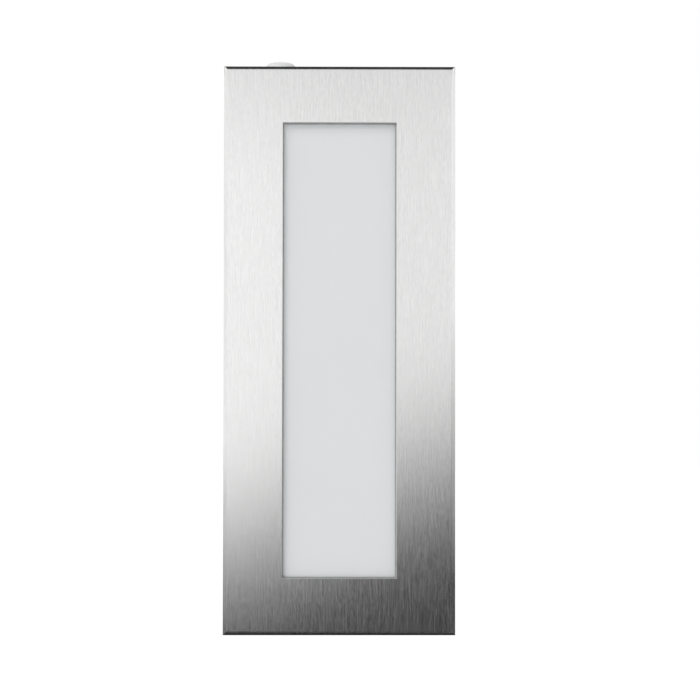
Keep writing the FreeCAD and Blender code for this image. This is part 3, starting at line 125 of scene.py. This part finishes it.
LENS_MM = 85.0
SENSOR_MM = 36.0
CAMERA_PLACE = (-0.0007, -0.7927, -0.0191)
CAMERA_PITCH_DEG = 1.388
CAMERA_ROLL_DEG = -0.075
CAMERA_YAW_DEG = -0.419
CAMERA_CLIP = (0.01, 50.0)

FLOOR_DROP = 0.60  # floor below the lowest point of the light
FLOOR_HALF = 14.0
FLOOR_COLOUR = (0.78, 0.78, 0.78)
FLOOR_GLOW = 0.20  # lifts the lit floor to the white of the background

WORLD_LEVEL = 0.70  # what the world gives matt surfaces
SHOWN_LEVEL = 1.0  # what the camera and reflections see of it
WHITE = (1.0, 1.0, 1.0)
KEY = {"level": 1.4, "elevation": 46.0, "azimuth": -42.0, "size": 40.0}
FILL = {"level": 0.45, "elevation": 25.0, "azimuth": 150.0, "size": 50.0}

# Cards that only reflections see. A dark board leans behind the camera, and its upper edge, which fades out
# on a slant, shades the plate towards its foot. A pale screen behind the board tones down the right side. A
# grey screen and a dark lid above draw the plate's upper edge, two dark cards below it draw the lower edge,
# and a card beside each rim carries the plate's shading on over the bend.
CARDS_Y = -1.60
BOARD_LEVEL = 0.03
BOARD_HALF_WIDTH = 0.95
BOARD_HEIGHT = 0.75
BOARD_FADE = 0.34  # height over which the board fades out
BOARD_FADE_Z = -0.183  # middle of the fade, behind the middle of the plate
BOARD_TILT_DEG = 20.7
SCREEN_GAP = 0.01  # from the board to the pale screen behind it
RIGHT_SCREEN_FOOT_Z = -0.5
RIGHT_SCREEN_EDGE_X = -0.07
RIGHT_SCREEN_LEVEL = 0.86
RIGHT_SCREEN_TOP_Z = 1.2
TOP_SCREEN_LEVEL = 0.70
TOP_SCREEN_FADE_Z = (0.64, 0.24)  # from full to clear, downwards
LID_LEVEL = 0.02
LID_Z = 1.4
LID_HALF = 2.2
BELOW_DROP = 0.030  # cards below, from the plate's lower edge
BELOW_REACH = 0.12  # forward of the plate and behind it
BELOW_SPLIT = 0.017  # forward of the plate, where the dark grey card gives way to the black one
BELOW_FRONT_LEVEL = 0.04
BELOW_BACK_LEVEL = 0.0
BELOW_HALF_WIDTH = 0.09
BESIDE_GAP = 0.012  # cards beside, from the plate's rims
BESIDE_FRONT = 0.050
BESIDE_BACK = 0.030
BESIDE_LEVELS = (0.06, 0.92)  # below and above the rise
BESIDE_RISE_Z = {-1: (-0.145, -0.043), 1: (-0.112, 0.022)}


# ---------------------------------------------------------------- nodes


def connect(target, value):
    """Links a node's output to a socket, or sets the socket's value."""
    if isinstance(value, bpy.types.NodeSocket):
        target.id_data.links.new(value, target)
    else:
        target.default_value = value


def add_node(tree, kind, inputs=None, **settings):
    """Adds a node. inputs holds its sockets by name or number."""
    node = tree.nodes.new(kind)
    for name, value in settings.items():
        setattr(node, name, value)
    for socket, value in (inputs or {}).items():
        connect(node.inputs[socket], value)
    return node


def map_range(tree, value, start, end, first, last, kind="LINEAR"):
    """Maps start..end of a value to first..last, and is level beyond."""
    inputs = {"Value": value, "From Min": start, "From Max": end, "To Min": first, "To Max": last}
    return add_node(tree, "ShaderNodeMapRange", inputs, interpolation_type=kind).outputs["Result"]


class Finish:
    """A material being made: its nodes, its shader, and the coordinates that its patterns use."""

    def __init__(self, name, colour, sockets):
        self.material = bpy.data.materials.new(name)
        self.material.use_nodes = True
        self.tree = self.material.node_tree
        self.shader = self.tree.nodes["Principled BSDF"]
        self.colour = colour
        self.set("Base Color", (*colour, 1.0))
        for socket, value in sockets.items():
            self.set(socket, value)
        self.coordinates = self.add("ShaderNodeTexCoord")

    def set(self, socket, value):
        """Sets or links one of the shader's sockets."""
        connect(self.shader.inputs[socket], value)

    def add(self, kind, inputs=None, **settings):
        """Adds a node to the material."""
        return add_node(self.tree, kind, inputs, **settings)

    def math(self, operation, a, b):
        """Works out two values or patterns."""
        return self.add("ShaderNodeMath", {0: a, 1: b}, operation=operation).outputs[0]

    def noise(self, cells, detail=2.0, roughness=0.5):
        """Noise from 0 to 1, whose cells measure so many metres along X, Y and Z."""
        inputs = {0: self.coordinates.outputs["Object"], 1: [1.0 / size for size in cells]}
        place = self.add("ShaderNodeVectorMath", inputs, operation="MULTIPLY").outputs[0]
        inputs = {"Vector": place, "Scale": 1.0, "Detail": detail, "Roughness": roughness}
        return self.add("ShaderNodeTexNoise", inputs).outputs["Fac"]

    def ranged(self, pattern, first, last, start=0.3, end=0.7):
        """Maps start..end of a pattern to first..last."""
        return map_range(self.tree, pattern, start, end, first, last)

    def tint(self, pattern, first, last, start=0.3, end=0.7):
        """Takes the colour from one shade of itself to another, as a pattern goes from start to end."""
        share = self.ranged(pattern, 0.0, 1.0, start, end)
        mix = self.add("ShaderNodeMix", {"Factor": share}, data_type="RGBA")
        connect(mix.inputs["A"], (*shade(self.colour, first), 1.0))
        connect(mix.inputs["B"], (*shade(self.colour, last), 1.0))
        self.set("Base Color", mix.outputs["Result"])

    def bump(self, pattern, depth, strength=1.0):
        """Raises the surface by a pattern, up to a depth in metres."""
        inputs = {"Height": pattern, "Distance": depth, "Strength": strength}
        self.set("Normal", self.add("ShaderNodeBump", inputs).outputs["Normal"])


def cubic(size):
    """Cells as long along every axis."""
    return (size, size, size)


def shade(colour, by):
    """A colour made lighter or darker by a factor."""
    return tuple(min(1.0, c * by) for c in colour)


# ---------------------------------------------------------------- materials


def brushed_stainless():
    """Sheet with a vertical brushed grain: long fine scratches that spread reflections sideways."""
    finish = Finish("brushed_stainless", (0.89, 0.889, 0.887), {"Anisotropic": 0.65})
    short = finish.noise(cells=(0.42 * MM, 0.42 * MM, 3 * MM), detail=1.0)
    long = finish.noise(cells=(0.5 * MM, 0.5 * MM, 15 * MM), detail=1.0)
    grain = finish.add("ShaderNodeMix", {"Factor": 0.5, "A": short, "B": long}).outputs["Result"]
    finish.tint(grain, first=0.91, last=1.06)
    finish.set("Metallic", finish.ranged(grain, first=1.0, last=0.94))
    finish.set("Roughness", finish.ranged(grain, first=0.12, last=0.17))
    finish.bump(long, depth=0.003 * MM)
    finish.set("Tangent", across_the_grain(finish))
    return finish.material


def across_the_grain(finish):
    """The direction across the grain, which runs down the plate and on over its bends."""
    least = 0.01  # keeps the direction sideways on faces that look up or down
    normal = finish.add("ShaderNodeSeparateXYZ", {0: finish.coordinates.outputs["Normal"]})
    sideways = finish.math("SUBTRACT", least, normal.outputs["Y"])
    return finish.add("ShaderNodeCombineXYZ", {"X": sideways, "Y": normal.outputs["X"]}).outputs[0]


def opal_glass():
    """Opal white glass with a satin face. It scatters light a little way in from its edges."""
    scattering = {
        "Subsurface Weight": 0.25,
        "Subsurface Scale": 2.5 * MM,
        "Subsurface Radius": (1.0, 1.0, 1.0),
    }
    finish = Finish("opal_glass", (0.725, 0.74, 0.75), {"Roughness": 0.22, "IOR": 1.5, **scattering})
    finish.tint(finish.noise(cells=cubic(40 * MM)), first=1.0, last=0.985)
    finish.bump(finish.noise(cells=cubic(0.4 * MM), detail=1.0), depth=0.002 * MM, strength=0.3)
    return finish.material


def silicone():
    """Grey silicone, matt, with a faint dusty bloom."""
    scattering = {"Subsurface Weight": 0.1, "Subsurface Scale": 1.0 * MM}
    finish = Finish("silicone_grey", (0.30, 0.31, 0.305), {"Roughness": 0.62, **scattering})
    finish.tint(finish.noise(cells=cubic(3 * MM), detail=4.0), first=1.0, last=1.25)
    finish.bump(finish.noise(cells=cubic(0.3 * MM)), depth=0.01 * MM, strength=0.4)
    return finish.material


def worked_metal(name, colour, roughness, cells):
    """Plated, rolled or drawn metal, with cloudy changes of gloss and fine handling scratches."""
    finish = Finish(name, colour, {"Metallic": 1.0})
    cloud = finish.noise(cubic(cells), detail=4.0, roughness=0.6)
    scratch = finish.noise(cells=(0.12 * MM, 0.9 * MM, 3 * MM))
    finish.tint(cloud, first=0.9, last=1.05)
    clouded = finish.ranged(cloud, first=-0.05, last=0.07)
    scratched = finish.ranged(scratch, first=-0.03, last=0.03)
    finish.set("Roughness", finish.math("ADD", finish.math("ADD", clouded, scratched), roughness))
    finish.bump(scratch, depth=0.004 * MM, strength=0.4)
    return finish.material


def plastic(name, colour, roughness, cells, depth, scattering=0.0):
    """Moulded plastic: a fine spark-eroded texture, faint flow clouds and a little scattering."""
    sockets = {"IOR": 1.48}
    if scattering:
        sockets.update({"Subsurface Weight": scattering, "Subsurface Scale": 1.5 * MM})
    finish = Finish(name, colour, sockets)
    finish.tint(finish.noise(cells=cubic(22 * MM), detail=3.0), first=0.965, last=1.02)
    texture = finish.noise(cubic(cells), detail=3.0, roughness=0.6)
    spread = 0.06  # of the roughness, each way
    finish.set("Roughness", finish.ranged(texture, roughness - spread, roughness + spread))
    finish.bump(texture, depth, strength=0.5)
    return finish.material


def powder_coat(name, colour, cells):
    """Powder coat: a smooth gloss with orange peel."""
    finish = Finish(name, colour, {"IOR": 1.5})
    peel = finish.noise(cubic(cells), detail=1.0)
    finish.tint(finish.noise(cells=cubic(30 * MM)), first=0.98, last=1.0)
    finish.set("Roughness", finish.ranged(peel, first=0.30, last=0.38))
    finish.bump(peel, depth=0.03 * MM, strength=0.4)
    return finish.material


def rubber():
    """Moulded black rubber: matt, faintly dusty, with a soft texture."""
    finish = Finish("rubber_black", (0.018, 0.018, 0.019), {"IOR": 1.5})
    dust = finish.noise(cells=cubic(2.5 * MM), detail=5.0, roughness=0.65)
    finish.tint(dust, first=1.0, last=2.0, start=0.4, end=0.8)
    finish.set("Roughness", finish.ranged(dust, first=0.67, last=0.80))
    finish.bump(finish.noise(cells=cubic(0.25 * MM)), depth=0.01 * MM, strength=0.5)
    return finish.material


def phosphor():
    """The silicone and phosphor fill of an LED package."""
    finish = Finish("led_phosphor", (0.92, 0.78, 0.26), {"Roughness": 0.28, "IOR": 1.41})
    speck = finish.noise(cells=cubic(0.12 * MM))
    finish.tint(speck, first=0.93, last=1.05)
    finish.bump(speck, depth=0.01 * MM, strength=0.3)
    return finish.material


def make_finishes():
    """Every material by its name."""
    finishes = {
        "brushed_stainless": brushed_stainless(),
        "opal_glass": opal_glass(),
        "silicone_grey": silicone(),
        "rubber_black": rubber(),
        "led_phosphor": phosphor(),
    }
    for name, look in METALS.items():
        finishes[name] = worked_metal(name, **look)
    for name, look in PLASTICS.items():
        finishes[name] = plastic(name, scattering=SCATTERING.get(name, 0.0), **look)
    for name, look in COATINGS.items():
        finishes[name] = powder_coat(name, **look)
    for name, colour in LEADS.items():
        finishes[name] = plastic(name, colour, **LEAD_SHEATH)
    return finishes


def dress_nodes(finishes):
    """Gives every CAD node the finish of its slot in the record, and the LEDs that of their package."""
    for row in frame["record"]["subparts"]:
        node = NODES[row["node"]]
        finish = finishes["led_package" if row["node"] == "leds" else row["material_slot"]]
        for slot in node.material_slots:
            slot.material = finish
        for polygon in node.data.polygons:
            polygon.use_smooth = True


# ---------------------------------------------------------------- fine detail


def detail(name, shape, finish, slot, smooth=False):
    """Makes a shape into a piece that moves with the housing."""
    bmesh.ops.recalc_face_normals(shape, faces=shape.faces)
    mesh = bpy.data.meshes.new(name)
    shape.to_mesh(mesh)
    shape.free()
    mesh.materials.append(finish)
    for polygon in mesh.polygons:
        polygon.use_smooth = smooth
    item = bpy.data.objects.new(name, mesh)
    bpy.context.scene.collection.objects.link(item)
    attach(item, "housing")


def add_loop(shape, points):
    """Adds the points of a loop."""
    return [shape.verts.new(point) for point in points]


def join_loops(shape, first, second):
    """Faces between two loops of as many points."""
    count = len(first)
    for i in range(count):
        j = (i + 1) % count
        shape.faces.new((first[i], first[j], second[j], second[i]))


def add_dome(shape, x, y, z):
    """A low dome that faces the front and is closed behind."""
    around = [2 * math.pi * i / DOME_SIDES for i in range(DOME_SIDES)]
    loops = []
    for ring in range(DOME_RINGS):
        turn = math.pi / 2 * ring / DOME_RINGS
        r, front = DOME_RADIUS * math.cos(turn), y - DOME_RISE * math.sin(turn)
        loops.append(add_loop(shape, [(x + r * math.cos(a), front, z + r * math.sin(a)) for a in around]))
    for first, second in zip(loops, loops[1:]):
        join_loops(shape, first, second)
    shape.faces.new(loops[0])
    top = shape.verts.new((x, y - DOME_RISE, z))
    for i, point in enumerate(loops[-1]):
        shape.faces.new((point, loops[-1][(i + 1) % DOME_SIDES], top))


def add_wedge(shape, foot, head):
    """A solid between two rectangles that face the front, each given by its ends in X and in Z and its Y."""
    loops = []
    for (x0, x1), (z0, z1), y in (foot, head):
        loops.append(add_loop(shape, [(x0, y, z0), (x1, y, z0), (x1, y, z1), (x0, y, z1)]))
        shape.faces.new(loops[-1])
    join_loops(shape, *loops)


def add_pad(shape, x, z, y, rise, bevel):
    """A flat pad with bevelled sides, between two ends along X and two along Z."""
    head_x, head_z = (x[0] + bevel, x[1] - bevel), (z[0] + bevel, z[1] - bevel)
    add_wedge(shape, (x, z, y), (head_x, head_z, y - rise))


def led_columns_and_rows():
    """Where the LEDs stand, read from the box of their CAD node."""
    low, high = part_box("leds")
    left, right = low.x + LED_HALF[0], high.x - LED_HALF[0]
    foot, top = low.z + LED_HALF[1], high.z - LED_HALF[1]
    columns = [left + (right - left) * i / (LED_COLUMNS - 1) for i in range(LED_COLUMNS)]
    return columns, [foot + (top - foot) * i / (LED_ROWS - 1) for i in range(LED_ROWS)]


def make_phosphor_domes(finish):
    """The domed fill of each LED package."""
    shape = bmesh.new()
    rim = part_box("leds")[0].y + DOME_FOOT
    columns, rows = led_columns_and_rows()
    for x in columns:
        for z in rows:
            add_dome(shape, x, rim, z)
    detail("phosphor_domes", shape, finish, "led_phosphor", smooth=True)


def make_solder(finish):
    """A fillet of solder at both ends of each LED package."""
    shape = bmesh.new()
    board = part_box("led_board")[0].y
    columns, rows = led_columns_and_rows()
    for x in columns:
        for z in rows:
            for side in SIDES:
                near = x + side * LED_HALF[0]
                foot = sorted((near, near + side * SOLDER_REACH))
                head = sorted((near, near + side * SOLDER_TOP))
                width = (z - SOLDER_HALF, z + SOLDER_HALF)
                add_wedge(shape, (foot, width, board), (head, width, board - SOLDER_RISE))
    detail("led_solder", shape, finish, "screw_zinc")


def make_tracks(finish):
    """The copper tracks, which stand out a little under the board's mask and join the LEDs in one chain."""
    shape = bmesh.new()
    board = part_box("led_board")[0].y
    columns, rows = led_columns_and_rows()
    for x in columns:
        for below, above in zip(rows, rows[1:]):
            span = (below + LED_HALF[1] + TRACK_GAP, above - LED_HALF[1] - TRACK_GAP)
            add_pad(shape, (x - TRACK_HALF, x + TRACK_HALF), span, board, TRACK_RISE, TRACK_BEVEL)
    inner = (columns[0] + LED_HALF[0] + TRACK_GAP, columns[-1] - LED_HALF[0] - TRACK_GAP)
    top = (rows[-1] - TRACK_HALF, rows[-1] + TRACK_HALF)
    add_pad(shape, inner, top, board, TRACK_RISE, TRACK_BEVEL)
    low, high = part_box("board_connector")
    foot = (rows[0] - TRACK_HALF, rows[0] + TRACK_HALF)
    for ends in ((inner[0], low.x - TRACK_GAP), (high.x + TRACK_GAP, inner[1])):
        add_pad(shape, ends, foot, board, TRACK_RISE, TRACK_BEVEL)
    detail("board_tracks", shape, finish, "board_white")


def make_contacts(finish):
    """The spring contacts that show in the connector's two release slots."""
    shape = bmesh.new()
    low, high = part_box("board_connector")
    middle = (low.x + high.x) / 2, (low.z + high.z) / 2
    height = (middle[1] + CONTACT_Z[0], middle[1] + CONTACT_Z[1])
    for side in SIDES:
        x = middle[0] + side * CONTACT_X
        width = (x - CONTACT_HALF, x + CONTACT_HALF)
        add_pad(shape, width, height, low.y + CONTACT_FOOT, CONTACT_RISE, CONTACT_BEVEL)
    detail("connector_contacts", shape, finish, "screw_zinc")


# ---------------------------------------------------------------- studio, lamps and camera


def staged_mesh(name, points, material):
    """One face through its points, which belongs to the studio and not to the light."""
    mesh = bpy.data.meshes.new(name)
    mesh.from_pydata(points, [], [tuple(range(len(points)))])
    mesh.materials.append(material)
    item = bpy.data.objects.new(name, mesh)
    bpy.context.scene.collection.objects.link(item)
    return item


def bare_material(name):
    """A material of the studio, with no nodes yet."""
    material = bpy.data.materials.new(name)
    material.use_nodes = True
    material.node_tree.nodes.clear()
    return material


def light_path_share(tree):
    """1 for rays from the camera, a reflection or a transmission, and 0 for light on matt surfaces."""
    path = add_node(tree, "ShaderNodeLightPath")
    share = path.outputs["Is Camera Ray"]
    for kind in ("Is Glossy Ray", "Is Transmission Ray"):
        inputs = {0: share, 1: path.outputs[kind]}
        share = add_node(tree, "ShaderNodeMath", inputs, operation="MAXIMUM").outputs[0]
    return share


def white_world():
    """A white background that reflections see too, and a softer level for matt surfaces."""
    world = bpy.data.worlds.new("studio")
    world.use_nodes = True
    tree = world.node_tree
    tree.nodes.clear()
    matt, shown = (
        add_node(tree, "ShaderNodeBackground", {"Color": (*WHITE, 1.0), "Strength": level}).outputs[0]
        for level in (WORLD_LEVEL, SHOWN_LEVEL)
    )
    mix = add_node(tree, "ShaderNodeMixShader", {0: light_path_share(tree), 1: matt, 2: shown})
    add_node(tree, "ShaderNodeOutputWorld", {"Surface": mix.outputs[0]})
    bpy.context.scene.world = world


def floor_material():
    """A pale matt floor that glows a little for the camera, so that it is white except in the shadow."""
    material = bare_material("floor")
    tree = material.node_tree
    matt = add_node(tree, "ShaderNodeBsdfDiffuse", {"Color": (*FLOOR_COLOUR, 1.0)})
    level = add_node(tree, "ShaderNodeMath", {0: light_path_share(tree), 1: FLOOR_GLOW}, operation="MULTIPLY")
    glow = add_node(tree, "ShaderNodeEmission", {"Strength": level.outputs[0]})
    both = add_node(tree, "ShaderNodeAddShader", {0: matt.outputs[0], 1: glow.outputs[0]})
    add_node(tree, "ShaderNodeOutputMaterial", {"Surface": both.outputs[0]})
    return material


def make_floor():
    """A level floor, well below the light."""
    ends = (-FLOOR_HALF, FLOOR_HALF)
    staged_mesh("floor", level_card(ends, ends, CAD_LOW.z - FLOOR_DROP), floor_material())


def height_ramp(tree, heights, values, kind="LINEAR"):
    """Goes from the first value to the second between two heights of the card."""
    place = add_node(tree, "ShaderNodeTexCoord").outputs["Object"]
    height = add_node(tree, "ShaderNodeSeparateXYZ", {0: place}).outputs["Z"]
    return map_range(tree, height, *heights, *values, kind)


def card_material(name, levels, heights, fade):
    """A glow whose level changes with the height. It turns clear between the two heights of a fade."""
    material = bare_material(name)
    tree = material.node_tree
    level = height_ramp(tree, heights, levels)
    shown = add_node(tree, "ShaderNodeEmission", {"Color": (*WHITE, 1.0), "Strength": level}).outputs[0]
    if fade:
        clear = add_node(tree, "ShaderNodeBsdfTransparent").outputs[0]
        share = height_ramp(tree, fade, (0.0, 1.0), "SMOOTHSTEP")
        shown = add_node(tree, "ShaderNodeMixShader", {0: share, 1: shown, 2: clear}).outputs[0]
    add_node(tree, "ShaderNodeOutputMaterial", {"Surface": shown})
    return material


def card(name, points, levels, heights=(0.0, 1.0), fade=None):
    """A card that only reflections see, as a photographer's screen just outside the picture."""
    item = staged_mesh(name, points, card_material(name, levels, heights, fade))
    item.visible_camera = False
    item.visible_diffuse = False
    item.visible_transmission = False
    item.visible_shadow = False
    return item


def upright(x, y, z):
    """The corners of an upright card between two points of the floor plan and two heights."""
    return [(x[0], y[0], z[0]), (x[1], y[1], z[0]), (x[1], y[1], z[1]), (x[0], y[0], z[1])]


def level_card(x, y, z):
    """The corners of a level card between two ends along X and two along Y."""
    return [(x[0], y[0], z), (x[1], y[0], z), (x[1], y[1], z), (x[0], y[1], z)]


def even(level):
    """A card's two levels, when it has only one."""
    return (level, level)


def make_leaning_board():
    """The dark board behind the camera, which turns about the middle of its fade."""
    ends = (-BOARD_HALF_WIDTH, BOARD_HALF_WIDTH)
    fade = (-BOARD_FADE / 2, BOARD_FADE / 2)
    outline = upright(ends, (0.0, 0.0), (fade[1] - BOARD_HEIGHT, fade[1]))
    board = card("leaning_board", outline, even(BOARD_LEVEL), fade=fade)
    lean = Matrix.Rotation(-math.radians(BOARD_TILT_DEG), 4, "Y")
    board.matrix_world = Matrix.Translation((0.0, CARDS_Y, BOARD_FADE_Z)) @ lean


def make_screens():
    """The pale screen behind the board, the grey screen above, and the dark lid with its back."""
    behind = CARDS_Y - SCREEN_GAP
    tall = (RIGHT_SCREEN_FOOT_Z, RIGHT_SCREEN_TOP_Z)
    outline = upright((RIGHT_SCREEN_EDGE_X, BOARD_HALF_WIDTH), (behind, behind), tall)
    card("right_screen", outline, even(RIGHT_SCREEN_LEVEL))
    wide = (-LID_HALF, LID_HALF)
    above = (TOP_SCREEN_FADE_Z[1], LID_Z)
    outline = upright(wide, (CARDS_Y, CARDS_Y), above)
    card("top_screen", outline, even(TOP_SCREEN_LEVEL), fade=TOP_SCREEN_FADE_Z)
    card("lid", level_card(wide, (CARDS_Y, LID_HALF), LID_Z), even(LID_LEVEL))
    card("back_screen", upright(wide, (LID_HALF, LID_HALF), above), even(LID_LEVEL))


def make_edge_cards():
    """The small cards close below the plate and beside its rims."""
    near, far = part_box("face_plate")
    below = near.z - BELOW_DROP
    split = near.y - BELOW_SPLIT
    width = (-BELOW_HALF_WIDTH, BELOW_HALF_WIDTH)
    card("card_below", level_card(width, (near.y - BELOW_REACH, split), below), even(BELOW_FRONT_LEVEL))
    card("card_beneath", level_card(width, (split, near.y + BELOW_REACH), below), even(BELOW_BACK_LEVEL))
    depth = (near.y - BESIDE_FRONT, near.y + BESIDE_BACK)
    for side, rim in zip(SIDES, (near.x, far.x)):
        x = rim + side * BESIDE_GAP
        outline = upright((x, x), depth, (below, far.z))
        card(f"card_beside_{side}", outline, BESIDE_LEVELS, BESIDE_RISE_Z[side])


def make_sun(name, level, elevation, azimuth, size):
    """A broad distant lamp, aimed by the angles at which it stands. Azimuth 0 is behind the camera."""
    lamp = bpy.data.lights.new(name, "SUN")
    lamp.energy = level
    lamp.angle = math.radians(size)
    item = bpy.data.objects.new(name, lamp)
    e, a = math.radians(elevation), math.radians(azimuth)
    towards = Vector((math.sin(a) * math.cos(e), -math.cos(a) * math.cos(e), math.sin(e)))
    item.rotation_euler = (-towards).to_track_quat("-Z", "Y").to_euler()
    item.visible_glossy = False
    bpy.context.scene.collection.objects.link(item)


def make_camera():
    """A long lens square to the plate, but for the small angles of the photograph."""
    camera = bpy.data.cameras.new("camera")
    camera.lens = LENS_MM
    camera.sensor_width = SENSOR_MM
    camera.clip_start, camera.clip_end = CAMERA_CLIP
    item = bpy.data.objects.new("camera", camera)
    turn = Matrix.Identity(4)
    for degrees, axis in ((CAMERA_YAW_DEG, "Z"), (CAMERA_PITCH_DEG, "X"), (CAMERA_ROLL_DEG, "Y")):
        turn = turn @ Matrix.Rotation(math.radians(degrees), 4, axis)
    forward = Matrix.Rotation(math.radians(90), 4, "X")  # from looking down to looking along Y
    item.matrix_world = Matrix.Translation(CAMERA_PLACE) @ turn @ forward
    bpy.context.scene.collection.objects.link(item)
    bpy.context.scene.camera = item
    bpy.context.scene.view_settings.view_transform = "Standard"


make_camera()
white_world()
make_floor()
make_leaning_board()
make_screens()
make_edge_cards()
make_sun("key", **KEY)
make_sun("fill", **FILL)
FINISHES = make_finishes()
dress_nodes(FINISHES)
make_phosphor_domes(FINISHES["led_phosphor"])
make_solder(FINISHES["solder"])
make_tracks(FINISHES["track_mask"])
make_contacts(FINISHES["solder"])
